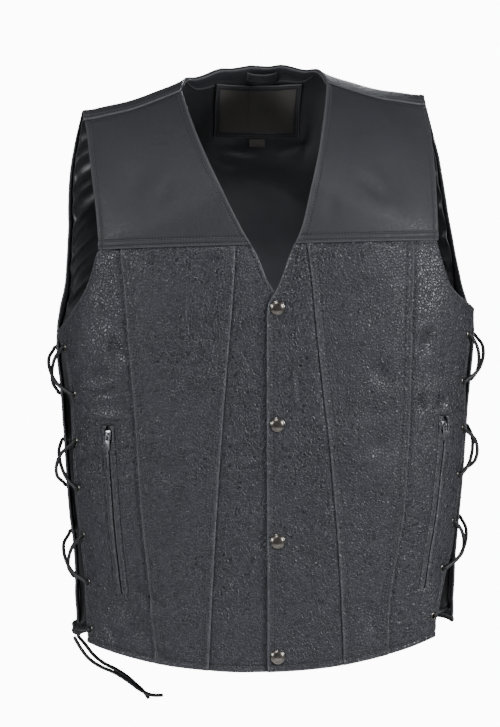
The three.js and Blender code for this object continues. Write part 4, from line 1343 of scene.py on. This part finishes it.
def pocket_strip(hand, start, end, end_in, across, up, pitch=(1.2, 2.4)):
    top, bottom = POCKET_ENDS[hand]

    def turn_for(offset):
        def value(spot):
            share = (top - spot.z) / (top - bottom)
            slant = np.where(np.abs(np.sin(spot.turn)) > 0.1, POCKET_SLANT, 1)
            return turn_at(HANDS[hand] * (pocket_line[hand](spot.z) + offset(share) * slant), spot.z)
        return value

    return Cloth(FRONT, turn_for(start), turn_for(end),
                 lambda spot: path_at(spot.x, bottom + end_in), lambda spot: path_at(spot.x, top - end_in),
                 HANDS[hand] * 0.85, across, up, pitch)


def pocket_lip(hand, inward):
    reach = -1 if inward else 1
    cloth = pocket_strip(hand, lambda share: reach * gap_half(share), lambda share: reach * (LIP_HALF + 0.15), 0.3,
                         ((0, 0.25, 0.7), (0, 0.3, 0.8)), (RIM_LINES, RIM_LINES), (0.9, 2.4))
    share = np.clip(cloth.from_inner / (cloth.from_inner + cloth.from_outer + 1e-6), 0, 1)
    lift = -0.75 + 1.75 * (1 - np.abs(2 * share - 0.85) ** 2.4 / 1.35)
    ends = np.minimum(cloth.from_bottom, cloth.from_top)
    lift = lift + 0.16 * (ripple(cloth.from_bottom * 0.5, 3 + reach) - 0.5) - 0.7 * rounding(ends, 2.5)
    cloth.lift = lift
    side = "inner" if inward else "outer"
    piece = shell(f"lip_{hand}_{side}", cloth, lift, np.minimum(lift - 0.6, -1.5))
    return dress(piece, "pebbled_leather", replaces=[f"pocket_lip_{hand}_{side}"])


def pocket_tape(hand):
    cloth = pocket_strip(hand, lambda share: -TAPE_HALF, lambda share: TAPE_HALF, -5,
                         ((0, 0.4), (0, 0.4)), ((0, 0.4), (0, 0.4)), (0.9, 2.4))
    middle = cloth.from_inner - cloth.from_outer
    lift = -2.65 + 0.35 * bell(middle, 6.5)
    cloth.lift = lift
    piece = shell(f"tape_{hand}", cloth, lift, np.full(lift.shape, -3.55))
    return dress(piece, "zip_tape", replaces=[f"zip_tape_{hand}"])


def tooth_pattern():
    bpy.ops.object.select_all(action="DESELECT")
    bpy.ops.mesh.primitive_cube_add(size=1)
    piece = bpy.context.object
    piece.data.transform(Matrix.Diagonal((1.1 * MM, 2.6 * MM, 1.0 * MM, 1)))
    apply(piece, "BEVEL", width=0.22 * MM, segments=1)
    return take_mesh(piece)


def zip_teeth(hand):
    top, bottom = POCKET_ENDS[hand]
    count = int((top - bottom - 6) / (TOOTH_PITCH / 2))
    z = np.linspace(top - 12, bottom + 3, count)
    x = HANDS[hand] * pocket_line[hand](z)
    turn, path = turn_at(x, z), path_at(x, z)
    points = skin(FRONT, turn, path, np.full(z.shape, -1.85)) * MM
    normal = normal_of(FRONT, turn, path, lambda t, p: surface(FRONT, t, p))
    along = np.gradient(points, axis=0)
    found = []
    for i in range(count):
        matrix = basis(points[i], along[i], normal[i])
        matrix[:3, 3] += matrix[:3, 1] * 0.7 * MM * (1 if i % 2 else -1)
        found.append(matrix)
    piece = scatter(f"zip_teeth_{hand}", tooth_pattern(), found, 30)
    return dress(piece, "gunmetal")


def polished(node, name, width):
    """A metal piece in the CAD solid's own form, with its corners rounded over."""
    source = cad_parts[node]
    piece = bpy.data.objects.new(name, source.data.copy())
    bpy.context.collection.objects.link(piece)
    choose(piece)
    bpy.ops.object.mode_set(mode="EDIT")
    bpy.ops.mesh.select_all(action="SELECT")
    bpy.ops.mesh.remove_doubles(threshold=0.00001)
    bpy.ops.mesh.dissolve_limited(angle_limit=2 * DEGREE)
    bpy.ops.object.mode_set(mode="OBJECT")
    apply(piece, "BEVEL", width=width, segments=3, limit_method="ANGLE", angle_limit=30 * DEGREE)
    choose(piece)
    bpy.ops.object.shade_smooth_by_angle(angle=40 * DEGREE)
    return piece


# Back, lining and neck

def neck_share(spot):
    return np.abs(spot.x) / np.where(spot.x < 0, NECK_HALF["right"], NECK_HALF["left"])


def back_hem(spot):
    return path_at(spot.x, BACK_HEM_Z + BACK_HEM_RISE * (spot.x / HEM_HALF) ** 2)


def back_edge_turn(sign, inset=None):
    def value(spot):
        off = 0 if inset is None else inset(spot)
        return sign * (back_edge(spot.path) - off) * DEGREE
    return value


def back_panel():
    cloth = Cloth(BACK, back_edge_turn(-1), back_edge_turn(1), back_hem,
                  lambda spot: neckline(neck_share(spot)) - LAP_REACH * smooth((neck_share(spot) - 0.97) * 30),
                  0.001, (TURNED_LINES, TURNED_LINES), (HEM_LINES, ONE_ROW_LINES), (4.2, 4.2))
    shoulder = smooth((neck_share(cloth.spot) - 0.97) * 30)
    top = shoulder * lapped(cloth.from_top, (7.0,)) + (1 - shoulder) * turned(cloth.from_top, (7.0,), 0.3)
    lift = (top + turned(cloth.from_inner) + turned(cloth.from_outer) + rolled(cloth.from_bottom)
            + puckers(cloth.from_inner, cloth.from_bottom, 6, 12) + puckers(cloth.from_outer, cloth.from_bottom, 6, 13)
            + puckers(cloth.from_bottom, cloth.from_inner, 7, 14) + puckers(cloth.from_top, cloth.from_inner, 7, 15, 0.2))
    sewn = [(cloth.from_inner, 6.0, False), (cloth.from_outer, 6.0, False),
            (cloth.from_bottom, 6.3, True), (cloth.from_top, 7.0, True)]
    piece, rows = leather_walls("back_panel", cloth, lift, "smooth_leather", ["back"], sewn)
    carve(piece, [punch(back_eyelet(hand, z)) for hand in HANDS for z in eyelet_heights()])
    return piece, rows


def satin_relief(cloth):
    """Depth of the lining's creases, in from the back."""
    depth = np.zeros(cloth.u.shape)
    for hand, distance in (("right", cloth.from_inner), ("left", cloth.from_outer)):
        for k in range(len(SATIN_CREASES["z"])):
            z, reach, rise, width, deep = (column[k] for column in SATIN_CREASES.values())
            shift = 0 if hand == "right" else 9 * math.sin(2.3 * k)
            away = cloth.spot.z - (z + shift) - rise * (distance / reach)
            fade = smooth(distance / 6 + 0.35) * (1 - smooth((distance - reach * 0.35) / (reach * 0.75)))
            depth += 1.7 * deep * bell(away, width) * fade
        gather = bell(distance, 9) * smooth((cloth.spot.z + 300) / 40)
        depth += 1.1 * gather * ripple(cloth.from_bottom * 0.42, 7 if hand == "right" else 5)
    depth += 0.8 * (0.5 + 0.5 * cloud(cloth.spot.x, cloth.spot.z, 34, 31))
    streak = fold_depth(table(FOLD_COLUMNS, [
        (-34, -58, 16, -66, 3.2, 1.5),
        (-48, -70, 0, -84, 5.0, 1.2),
        (30, -66, 66, -58, 4.0, 1.0),
        (-70, -30, -52, -84, 7.0, 1.3),
        (72, -34, 58, -92, 7.0, 1.2),
        (-120, -330, -40, -420, 12, 1.6),
        (110, -320, 30, -430, 12, 1.5),
    ]), cloth.spot.x, cloth.spot.z)
    return depth + streak


def lining():
    inset = lambda spot: 1.5 + 5.2 * smooth((spot.path - 235) / 50)
    share = lambda spot: smooth((neck_share(spot) - 1) / 0.25)
    cloth = Cloth(BACK, back_edge_turn(-1, inset), back_edge_turn(1, inset), lambda spot: back_hem(spot) - 13,
                  lambda spot: neckline(neck_share(spot)) + lerp(BAND_DEPTH, 5, share(spot)),
                  0.001, (RIM_LINES, RIM_LINES), (RIM_LINES, RIM_LINES), (3.9, 3.9))
    depth = satin_relief(cloth) * (0.35 + 0.65 * smooth(cloth.from_top / 12))
    label = {"x": LABEL["x"], "half": LABEL["width"] / 2 + 3}
    flat = smooth((label["half"] + 12 - np.abs(cloth.spot.x - label["x"])) / 12) * smooth((cloth.spot.z + 60) / 8)
    depth = depth * (1 - flat * 0.85)
    outer = -LEATHER - LINING_GAP - depth
    piece = shell("satin_lining", cloth, outer, outer - SATIN)
    return dress(piece, "satin", replaces=["back_lining"])


def neck_band():
    cloth = Cloth(BACK, lambda spot: turn_at(np.full(spot.x.shape, -79.5), spot.z),
                  lambda spot: turn_at(np.full(spot.x.shape, 79.5), spot.z),
                  lambda spot: neckline(neck_share(spot)) + BAND_DEPTH + 1,
                  lambda spot: neckline(neck_share(spot)) + 0.8,
                  0.001, (RIM_LINES, RIM_LINES), (TWO_ROW_LINES[:7], RIM_LINES), (2.4, 1.6))
    soft = 0.4 * cloud(cloth.spot.x, cloth.from_bottom, 17, 41)
    lift = (-turned(cloth.from_bottom, (2.8,), 0.5) - 0.9 * np.sin(math.pi * np.clip(cloth.from_top / 14, 0, 1)) * 0.6
            - np.abs(soft) + 0.5 * rounding(cloth.from_top, 1.6))
    inner = BAND_FACE + lift
    cloth.lift = inner
    piece = shell("neck_band_facing", cloth, np.full(inner.shape, -LEATHER - LINING_GAP), inner)
    dress(piece, "smooth_leather", replaces=["neck_band"])
    points, normals = cloth.line(cloth.from_bottom, 2.8, True, -0.15)
    return piece, [(points, -normals)]


def neck_piece(shape, across, up, pitch):
    def level(z):
        return lambda spot: path_at(spot.x, z - NECK_SLOPE * (spot.x - LABEL["x"]))
    half = shape["width"] / 2
    return Cloth(BACK, lambda spot: turn_at(np.full(spot.x.shape, shape["x"] - half), spot.z),
                 lambda spot: turn_at(np.full(spot.x.shape, shape["x"] + half), spot.z),
                 level(shape["bottom"]), level(shape["top"]), 0.05, across, up, pitch)


def label_pieces():
    lines = (0, 0.3, 0.8, 1.6, 2.6, 3.5, 4.4, 5.6, 6.4, LABEL_BORDER)
    cloth = neck_piece(LABEL, (lines, lines), (lines, lines), (2.4, 2.4))
    face = LINING_FACE - 2.4
    edge = cloth.nearest_edge()
    wave = 0.35 * cloud(cloth.spot.x, cloth.spot.z, 24, 51)
    cloth.lift = face + wave
    centre = (edge[:-1, :-1] + edge[1:, 1:]) / 2
    frame_lift = face + wave - 0.55 + 0.7 * rounding(edge, 1.2) + 0.35 * bell(edge - 3.5, 0.8)
    frame_lift = frame_lift + 0.4 * rounding(np.abs(LABEL_BORDER - edge), 1.1)
    border = shell("label_border", cloth, np.full(edge.shape, face + 1.1) + wave, frame_lift,
                   centre < LABEL_BORDER)
    dress(border, "smooth_leather", replaces=["label_patch"])
    field = shell("label_field", cloth, np.full(edge.shape, face + 1.0) + wave, face + wave + 0.2 * bell(edge - 8, 3),
                  centre > LABEL_BORDER - 1.2)
    dress(field, "label_cloth", replaces=["label_patch"])
    flipped = []
    cloth.lift = frame_lift
    for distances, along_rows in ((cloth.from_inner, False), (cloth.from_outer, False),
                                  (cloth.from_bottom, True), (cloth.from_top, True)):
        points, normals = cloth.line(distances, 3.5, along_rows, -0.1)
        flipped.append((points[5:-5], -normals[5:-5]))
    return [border, field], flipped


def size_tab():
    cloth = neck_piece(TAB, ((0, 0.3, 0.8), (0, 0.3, 0.8)), ((0, 0.3, 0.8), (0, 0.3, 0.8)), (1.2, 1.2))
    bend = 0.8 * np.sin(math.pi * np.clip(cloth.from_top / 9, 0, 1)) * 0.6
    inner = LINING_FACE - 2.0 - bend + 0.25 * rounding(cloth.nearest_edge(), 0.8)
    piece = shell("bare_size_tab", cloth, inner + 0.8, inner)
    return dress(piece, "label_cloth", replaces=["size_tab"])


def hanger_strap():
    cloth = neck_piece(HANGER, ((0, 0.3, 0.8), (0, 0.3, 0.8)), ((0, 0.3, 0.8, 1.4), (0, 0.3, 0.8, 1.4)), (1.5, 1.0))
    u = cloth.u
    edge = np.minimum(cloth.from_bottom, cloth.from_top)
    lift = BAND_FACE - 0.5 - HANGER["bulge"] * np.sin(math.pi * u) ** 0.8 - 1.2
    piece = shell("hanger_strap", cloth, lift + 1.2 - 0.3 * rounding(edge, 1.0), lift + 0.3 * rounding(edge, 1.0))
    return dress(piece, "smooth_leather", replaces=["hanger_loop"])


# Eyelets and laces

def eyelet_heights():
    return [EYELET_TOP - EYELET_PITCH * row for row in range(EYELET_ROWS)]


def front_eyelet(hand, z):
    turn = HANDS[hand] * (side_edge[hand](z) - EYELET_IN_FRONT) * DEGREE
    return FRONT, np.array([turn]), np.array([float(path_at(half_at(z), z))])


def back_eyelet(hand, z):
    path = float(path_at(half_at(z), z))
    return BACK, np.array([HANDS[hand] * (back_edge(path) - EYELET_IN_BACK) * DEGREE]), np.array([path])


def at_eyelet(eyelet, lift):
    """A point over an eyelet, in metres."""
    side, turn, path = eyelet
    return skin(side, turn, path, np.array([float(lift)]))[0] * MM


def spun(name, profile, steps, angle=30):
    """A turned metal piece about Z, from its profile of radius and height in millimetres."""
    mesh = bpy.data.meshes.new(name)
    points = [(radius * MM, 0, height * MM) for radius, height in profile]
    mesh.from_pydata(points, [(i, i + 1) for i in range(len(points) - 1)], [])
    piece = bpy.data.objects.new(name, mesh)
    bpy.context.collection.objects.link(piece)
    choose(piece)
    bpy.ops.object.mode_set(mode="EDIT")
    bpy.ops.mesh.select_all(action="SELECT")
    bpy.ops.mesh.spin(steps=steps, angle=2 * math.pi, center=(0, 0, 0), axis=(0, 0, 1))
    bpy.ops.mesh.select_all(action="SELECT")
    bpy.ops.mesh.remove_doubles(threshold=0.00001)
    bpy.ops.mesh.normals_make_consistent(inside=False)
    bpy.ops.object.mode_set(mode="OBJECT")
    bpy.ops.object.shade_smooth_by_angle(angle=angle * DEGREE)
    return piece


EYELET_PROFILE = ((2.45, -0.2), (2.6, 0.55), (3.1, 0.85), (3.8, 0.75), (4.3, 0.35), (4.35, 0.05), (3.6, -0.1),
                  (2.9, -0.2), (2.9, -1.9), (3.6, -2.0), (4.35, -2.1), (4.3, -2.4), (3.7, -2.75), (3.1, -2.8),
                  (2.6, -2.5), (2.45, -1.9), (2.45, -0.2))


def eyelet_rings(name, eyelets):
    pattern = take_mesh(spun("eyelet", EYELET_PROFILE, 24))
    found = []
    for eyelet in eyelets:
        low, high = at_eyelet(eyelet, 0), at_eyelet(eyelet, 1)
        out = unit(high - low)
        found.append(basis(low, np.cross(out, (0.2, 0.3, 0.9)), out))
    piece = scatter(name, pattern, found, 40)
    return dress(piece, "gunmetal")


def lace_stretch(start, end, outside, bulge):
    """One stretch between two eyelets, over the outside or along the inside, in metres."""
    hole = HOLE_LIFT if outside else -LEATHER - HOLE_LIFT
    lie = LACE_LIFT if outside else -LEATHER - LACE_LIFT
    a, b = at_eyelet(start, lie), at_eyelet(end, lie)
    out_a = unit(at_eyelet(start, lie + 1) - a)
    out_b = unit(at_eyelet(end, lie + 1) - b)
    out = unit(out_a + out_b)

    def step(origin, target, normal):
        run = target - origin
        run = run - normal * np.dot(run, normal)
        return origin + unit(run) * 4.5 * MM

    points = [at_eyelet(start, hole), step(a, b, out_a)]
    for share in (0.22, 0.5, 0.78) if outside else (0.5,):
        points.append(lerp(a, b, share) + out * bulge * MM * math.sin(share * math.pi) ** 0.7)
    return points + [step(b, a, out_b), at_eyelet(end, hole)]


def lace_strand(hand, starts_at_front, bulge):
    spots = []
    for row, z in enumerate(eyelet_heights()):
        swapped = (row + 1) // 2 % 2 == 1
        maker = front_eyelet if starts_at_front != swapped else back_eyelet
        spots.append(maker(hand, z))
    points = []
    for row in range(EYELET_ROWS - 1):
        outside = row % 2 == 0
        points += lace_stretch(spots[row], spots[row + 1], outside, bulge if outside else -1)
    return points, spots[-1]


def knot_centre(hand):
    z = EYELET_TOP - EYELET_PITCH * (EYELET_ROWS - 1) - 3
    middle = (at_eyelet(front_eyelet(hand, z), 0) + at_eyelet(back_eyelet(hand, z), 0)) / 2
    lift = 8.5 if hand == "right" else -13
    return middle + np.array([HANDS[hand] * lift * MM, 0, 0])


def lace(hand):
    first, first_end = lace_strand(hand, True, LOOP_UNDER)
    second, second_end = lace_strand(hand, False, LOOP_OVER)
    top = eyelet_heights()[0]
    bar = lace_stretch(back_eyelet(hand, top), front_eyelet(hand, top), False, -4)
    centre = knot_centre(hand)

    def tail(end):
        outside = hand == "right"
        sign = 1 if outside else -1
        base = 0 if outside else -LEATHER
        hole = at_eyelet(end, base + sign * HOLE_LIFT)
        lie = at_eyelet(end, base + sign * LACE_LIFT)
        near = centre + unit(lie - centre) * (KNOT_ACROSS - 1.5) * MM
        return [hole, lie + unit(centre - lie) * 4 * MM, near] if outside else [near]

    points = tail(first_end)[::-1] + first[::-1] + bar[::-1] + second + tail(second_end)
    line, _ = resample(flowing(np.array(points), 10), 700)
    return dress(tube(f"lace_thong_{hand}", line, LACE_RADIUS * MM, 10), "thong", replaces=[f"lace_{hand}"])


def lace_knot(hand):
    """An overhand knot, drawn up tight."""
    t = np.linspace(0, 2 * math.pi, 120, endpoint=False)
    size = 1.95 * MM
    turns = np.stack([1.05 * np.sin(3 * t) * size, (np.sin(t) + 2 * np.sin(2 * t)) * size,
                      (np.cos(t) - 2 * np.cos(2 * t)) * size * 1.05], 1)
    lean = np.array(Matrix.Rotation(0.5, 3, "X") @ Matrix.Rotation(0.25, 3, "Z"))
    line = turns @ lean.T + knot_centre(hand)
    piece = tube(f"knot_{hand}", line, LACE_RADIUS * MM * 1.04, 12, closed=True)
    return dress(piece, "thong", replaces=[f"lace_knot_{hand}"])


def lace_tail(node):
    centre = knot_centre("right")
    route = np.array([centre + np.array(step) for step in TAIL_STEPS[node]])
    path, _ = resample(flowing(route), 33)
    line, _ = resample(flowing(route), 90)
    piece = tube(node + "_thong", line, LACE_RADIUS * MM, 12)
    dress(piece, "thong", replaces=[node])
    return piece


# Snaps

SNAP_PROFILE = ((0, 0.0), (6.6, 0.0), (7.3, 0.25), (7.5, 0.75), (7.35, 1.15), (7.0, 1.3), (6.75, 1.22),
                (6.55, 1.35), (6.2, 1.75), (5.4, 2.3), (4.2, 2.78), (3.0, 3.1), (1.6, 3.33), (0, 3.4))


def snap(number, z):
    piece = spun(f"snap_cap_{number}", SNAP_PROFILE, 48, 60)
    turn, path = np.array([0.0]), np.array([float(path_at(0, z))])
    seat = skin(FRONT, turn, path, np.array([0.35]))[0] * MM
    out = unit(skin(FRONT, turn, path, np.array([1.35]))[0] * MM - seat)
    piece.data.transform(Matrix(basis(seat, np.array([1.0, 0, 0]), out)))
    height = np.array([v.co[:] for v in piece.data.vertices])
    radius = np.linalg.norm(np.cross(height - seat, out), axis=1) / MM
    # Painted highlight: the metal is painted brighter over the dome's crown and in a ring on the rim
    shine = 0.7 * bell(radius, 4.5) + 0.8 * bell(radius - 7.1, 0.5)
    add_values(piece, "wear", shine)
    return dress(piece, "gunmetal", replaces=[f"snap_{number}"])


# Properties, operators and panel

class VestSizes(bpy.types.PropertyGroup):
    stitch_pitch: FloatProperty(name="Stitch pitch", description="From one stitch to the next",
                                default=0.0033, unit="LENGTH")
    stitch_length: FloatProperty(name="Stitch length", description="Thread that shows at each stitch",
                                 default=0.0025, unit="LENGTH")
    thread: FloatProperty(name="Thread", description="Width of the sewing thread", default=0.0009, unit="LENGTH")
    pebble: FloatProperty(name="Pebble", description="Width of the leather's pebbles",
                          default=0.0032, unit="LENGTH")
    fine_grain: FloatProperty(name="Fine grain", description="Width of the smooth leather's grain",
                              default=0.0010, unit="LENGTH")
    floor_drop: FloatProperty(name="Floor", description="Height of the floor under the shoulders",
                              default=-0.95, unit="LENGTH")


class VestColours(bpy.types.PropertyGroup):
    pebbled: FloatVectorProperty(name="Pebbled leather", description="Dye of the lower fronts",
                                 subtype="COLOR", default=(0.0160, 0.0160, 0.0212))
    smooth: FloatVectorProperty(name="Smooth leather", description="Dye of the yokes and back",
                                subtype="COLOR", default=(0.0122, 0.0122, 0.0156))
    satin: FloatVectorProperty(name="Satin", description="Colour of the lining",
                               subtype="COLOR", default=(0.007, 0.007, 0.009))
    label: FloatVectorProperty(name="Label", description="Colour of the label's field",
                               subtype="COLOR", default=(0.082, 0.077, 0.068))
    thong: FloatVectorProperty(name="Thong", description="Dye of the laces",
                               subtype="COLOR", default=(0.006, 0.006, 0.0065))
    thread: FloatVectorProperty(name="Thread", description="Colour of the sewing thread",
                                subtype="COLOR", default=(0.075, 0.075, 0.08))


class VEST_OT_camera(bpy.types.Operator):
    """Adds the camera at the photograph's viewing angle"""
    bl_idname = "vest.camera"
    bl_label = "Camera"

    def execute(self, context):
        azimuth = CAMERA_AZIMUTH * DEGREE
        data = bpy.data.cameras.new("camera")
        data.sensor_width = 36
        data.lens = CAMERA_LENS
        data.clip_end = 50
        camera = bpy.data.objects.new("camera", data)
        context.collection.objects.link(camera)
        camera.location = (CAMERA_DISTANCE * math.sin(azimuth), -CAMERA_DISTANCE * math.cos(azimuth), CAMERA_HEIGHT)
        camera.rotation_euler = ((90 - CAMERA_DIP) * DEGREE, 0, (CAMERA_AZIMUTH + CAMERA_AIM) * DEGREE)
        context.scene.camera = camera
        return {"FINISHED"}


class VEST_OT_finishes(bpy.types.Operator):
    """Makes the leather, satin, label, thong and metal materials"""
    bl_idname = "vest.finishes"
    bl_label = "Finishes"

    def execute(self, context):
        sizes = context.scene.vest_sizes
        colours = context.scene.vest_colours
        FINISHES["smooth_leather"] = leather("smooth_leather", tuple(colours.smooth), sizes.fine_grain,
                                             0.00013, 0.50, 0.5)
        FINISHES["pebbled_leather"] = leather("pebbled_leather", tuple(colours.pebbled), sizes.pebble,
                                              0.00058, 0.34, 0.85)
        FINISHES["satin"] = satin("satin", tuple(colours.satin))
        FINISHES["label_cloth"] = woven("label_cloth", tuple(colours.label), 0.0007)
        FINISHES["thong"] = thong_leather("thong", tuple(colours.thong))
        FINISHES["zip_tape"] = woven("zip_tape", (0.008, 0.008, 0.009), 0.0009)
        FINISHES["nickel"] = metal("nickel", (0.25, 0.25, 0.26), (0.62, 0.62, 0.64), 0.2)
        FINISHES["gunmetal"] = metal("gunmetal", (0.1, 0.093, 0.085), (0.36, 0.33, 0.29), 0.22)
        FINISHES["thread"] = thread_finish(tuple(colours.thread))
        return {"FINISHED"}


class VEST_OT_lace_tails(bpy.types.Operator):
    """Lays the free ends of the right lace from its knot"""
    bl_idname = "vest.lace_tails"
    bl_label = "Lace ends"

    def execute(self, context):
        for node in TAIL_STEPS:
            lace_tail(node)
        return {"FINISHED"}


class VEST_OT_fronts(bpy.types.Operator):
    """Sews the yokes and the six lower front panels"""
    bl_idname = "vest.fronts"
    bl_label = "Fronts"

    def execute(self, context):
        for hand in HANDS:
            for maker, rests_on in ((yoke_panel, "back"), (centre_panel, f"yoke_{hand}"),
                                    (middle_panel, f"yoke_{hand}"), (side_panel, f"yoke_{hand}")):
                piece, rows = maker(hand)
                sew(piece.name + "_stitches", rows)
        return {"FINISHED"}


class VEST_OT_back(bpy.types.Operator):
    """Sews the back and its satin lining"""
    bl_idname = "vest.back"
    bl_label = "Back and lining"

    def execute(self, context):
        piece, rows = back_panel()
        sew("back_stitches", rows)
        lining()
        return {"FINISHED"}


class VEST_OT_neck(bpy.types.Operator):
    """Sews the neck band, the bare label, the size tab and the hanger strap"""
    bl_idname = "vest.neck"
    bl_label = "Neck"

    def execute(self, context):
        band, rows = neck_band()
        labels, label_rows = label_pieces()
        size_tab()
        hanger_strap()
        sew("neck_stitches", rows + label_rows)
        return {"FINISHED"}


class VEST_OT_pockets(bpy.types.Operator):
    """Fits the lips, tape, teeth, slider and pull of each zip pocket"""
    bl_idname = "vest.pockets"
    bl_label = "Pockets"

    def execute(self, context):
        for hand in HANDS:
            for inward in (True, False):
                pocket_lip(hand, inward)
            pocket_tape(hand)
            zip_teeth(hand)
            slider = polished(f"zip_slider_{hand}", f"slider_{hand}", 0.0004)
            dress(slider, "nickel", replaces=[f"zip_slider_{hand}"])
            pull = polished(f"zip_pull_{hand}", f"pull_{hand}", 0.0003)
            dress(pull, "nickel", f"pull_{hand}", [f"zip_pull_{hand}"])
        return {"FINISHED"}


class VEST_OT_laces(bpy.types.Operator):
    """Sets the eyelets and threads the laces and their knots"""
    bl_idname = "vest.laces"
    bl_label = "Laces"

    def execute(self, context):
        for hand in HANDS:
            eyelet_rings(f"eyelets_front_{hand}", [front_eyelet(hand, z) for z in eyelet_heights()])
            eyelet_rings(f"eyelets_back_{hand}", [back_eyelet(hand, z) for z in eyelet_heights()])
            lace(hand)
            lace_knot(hand)
        return {"FINISHED"}


class VEST_OT_snaps(bpy.types.Operator):
    """Sets the four snap caps"""
    bl_idname = "vest.snaps"
    bl_label = "Snaps"

    def execute(self, context):
        for number, z in enumerate(SNAP_HEIGHTS, 1):
            snap(number, z)
        return {"FINISHED"}


class VEST_OT_stage(bpy.types.Operator):
    """Adds the pale floor and the soft studio light"""
    bl_idname = "vest.stage"
    bl_label = "Stage"

    def execute(self, context):
        bpy.ops.object.select_all(action="DESELECT")
        bpy.ops.mesh.primitive_circle_add(vertices=96, radius=1.15, fill_type="NGON",
                                          location=(0, 0, context.scene.vest_sizes.floor_drop))
        floor = bpy.context.object
        floor.name = "floor"
        pale = bpy.data.materials.new("pale_floor")
        pale.use_nodes = True
        pale.node_tree.nodes["Principled BSDF"].inputs["Base Color"].default_value = (0.86, 0.86, 0.87, 1)
        pale.node_tree.nodes["Principled BSDF"].inputs["Roughness"].default_value = 0.8
        floor.data.materials.append(pale)
        world = bpy.data.worlds.new("studio")
        context.scene.world = world
        world.use_nodes = True
        tree = world.node_tree
        backdrop = tree.nodes["Background"]
        backdrop.inputs["Color"].default_value = (1, 1, 1, 1)
        seen = tree.nodes.new("ShaderNodeLightPath")
        level = tree.nodes.new("ShaderNodeMapRange")
        level.inputs["To Min"].default_value = 0.12
        level.inputs["To Max"].default_value = 12.0
        tree.links.new(seen.outputs["Is Camera Ray"], level.inputs["Value"])
        tree.links.new(level.outputs[0], backdrop.inputs["Strength"])
        lamps = (
            ("key", (2.3, -1.35, 0.45), 0.8, 78),
            ("fill", (-2.4, -1.2, 0.4), 0.7, 52),
            ("top", (-0.5, -1.75, 2.2), 0.7, 44),
            ("rear", (0.9, 2.4, 0.9), 1.0, 48),
        )
        for name, place, size, power in lamps:
            data = bpy.data.lights.new(name, "AREA")
            data.size = size
            data.energy = power
            data.color = (0.94, 0.96, 1.0)
            lamp = bpy.data.objects.new(name, data)
            context.collection.objects.link(lamp)
            lamp.location = place
            aim = Vector((0, 0, -0.3)) - Vector(place)
            lamp.rotation_euler = aim.to_track_quat("-Z", "Y").to_euler()
        return {"FINISHED"}


class VEST_PT_panel(bpy.types.Panel):
    """Lists the vest's pieces, sizes and colours"""
    bl_idname = "VEST_PT_panel"
    bl_label = "Vest"
    bl_space_type = "VIEW_3D"
    bl_region_type = "UI"
    bl_category = "Vest"

    def draw(self, context):
        for operator in OPERATORS:
            self.layout.operator(operator.bl_idname)
        for group in (context.scene.vest_sizes, context.scene.vest_colours):
            for name in group.__annotations__:
                self.layout.prop(group, name)


OPERATORS = (VEST_OT_camera, VEST_OT_finishes, VEST_OT_lace_tails, VEST_OT_fronts, VEST_OT_back, VEST_OT_neck,
             VEST_OT_pockets, VEST_OT_laces, VEST_OT_snaps, VEST_OT_stage)
CLASSES = (VestSizes, VestColours, *OPERATORS, VEST_PT_panel)


def register():
    for item in CLASSES:
        bpy.utils.register_class(item)
    bpy.types.Scene.vest_sizes = PointerProperty(type=VestSizes)
    bpy.types.Scene.vest_colours = PointerProperty(type=VestColours)


def unregister():
    del bpy.types.Scene.vest_sizes
    del bpy.types.Scene.vest_colours
    for item in reversed(CLASSES):
        bpy.utils.unregister_class(item)


def main():
    register()
    bpy.ops.vest.camera()
    bpy.ops.vest.finishes()
    bpy.ops.vest.lace_tails()
    bpy.ops.vest.fronts()
    bpy.ops.vest.back()
    bpy.ops.vest.neck()
    bpy.ops.vest.pockets()
    bpy.ops.vest.laces()
    bpy.ops.vest.snaps()
    bpy.ops.vest.stage()


if __name__ == "__main__":
    main()
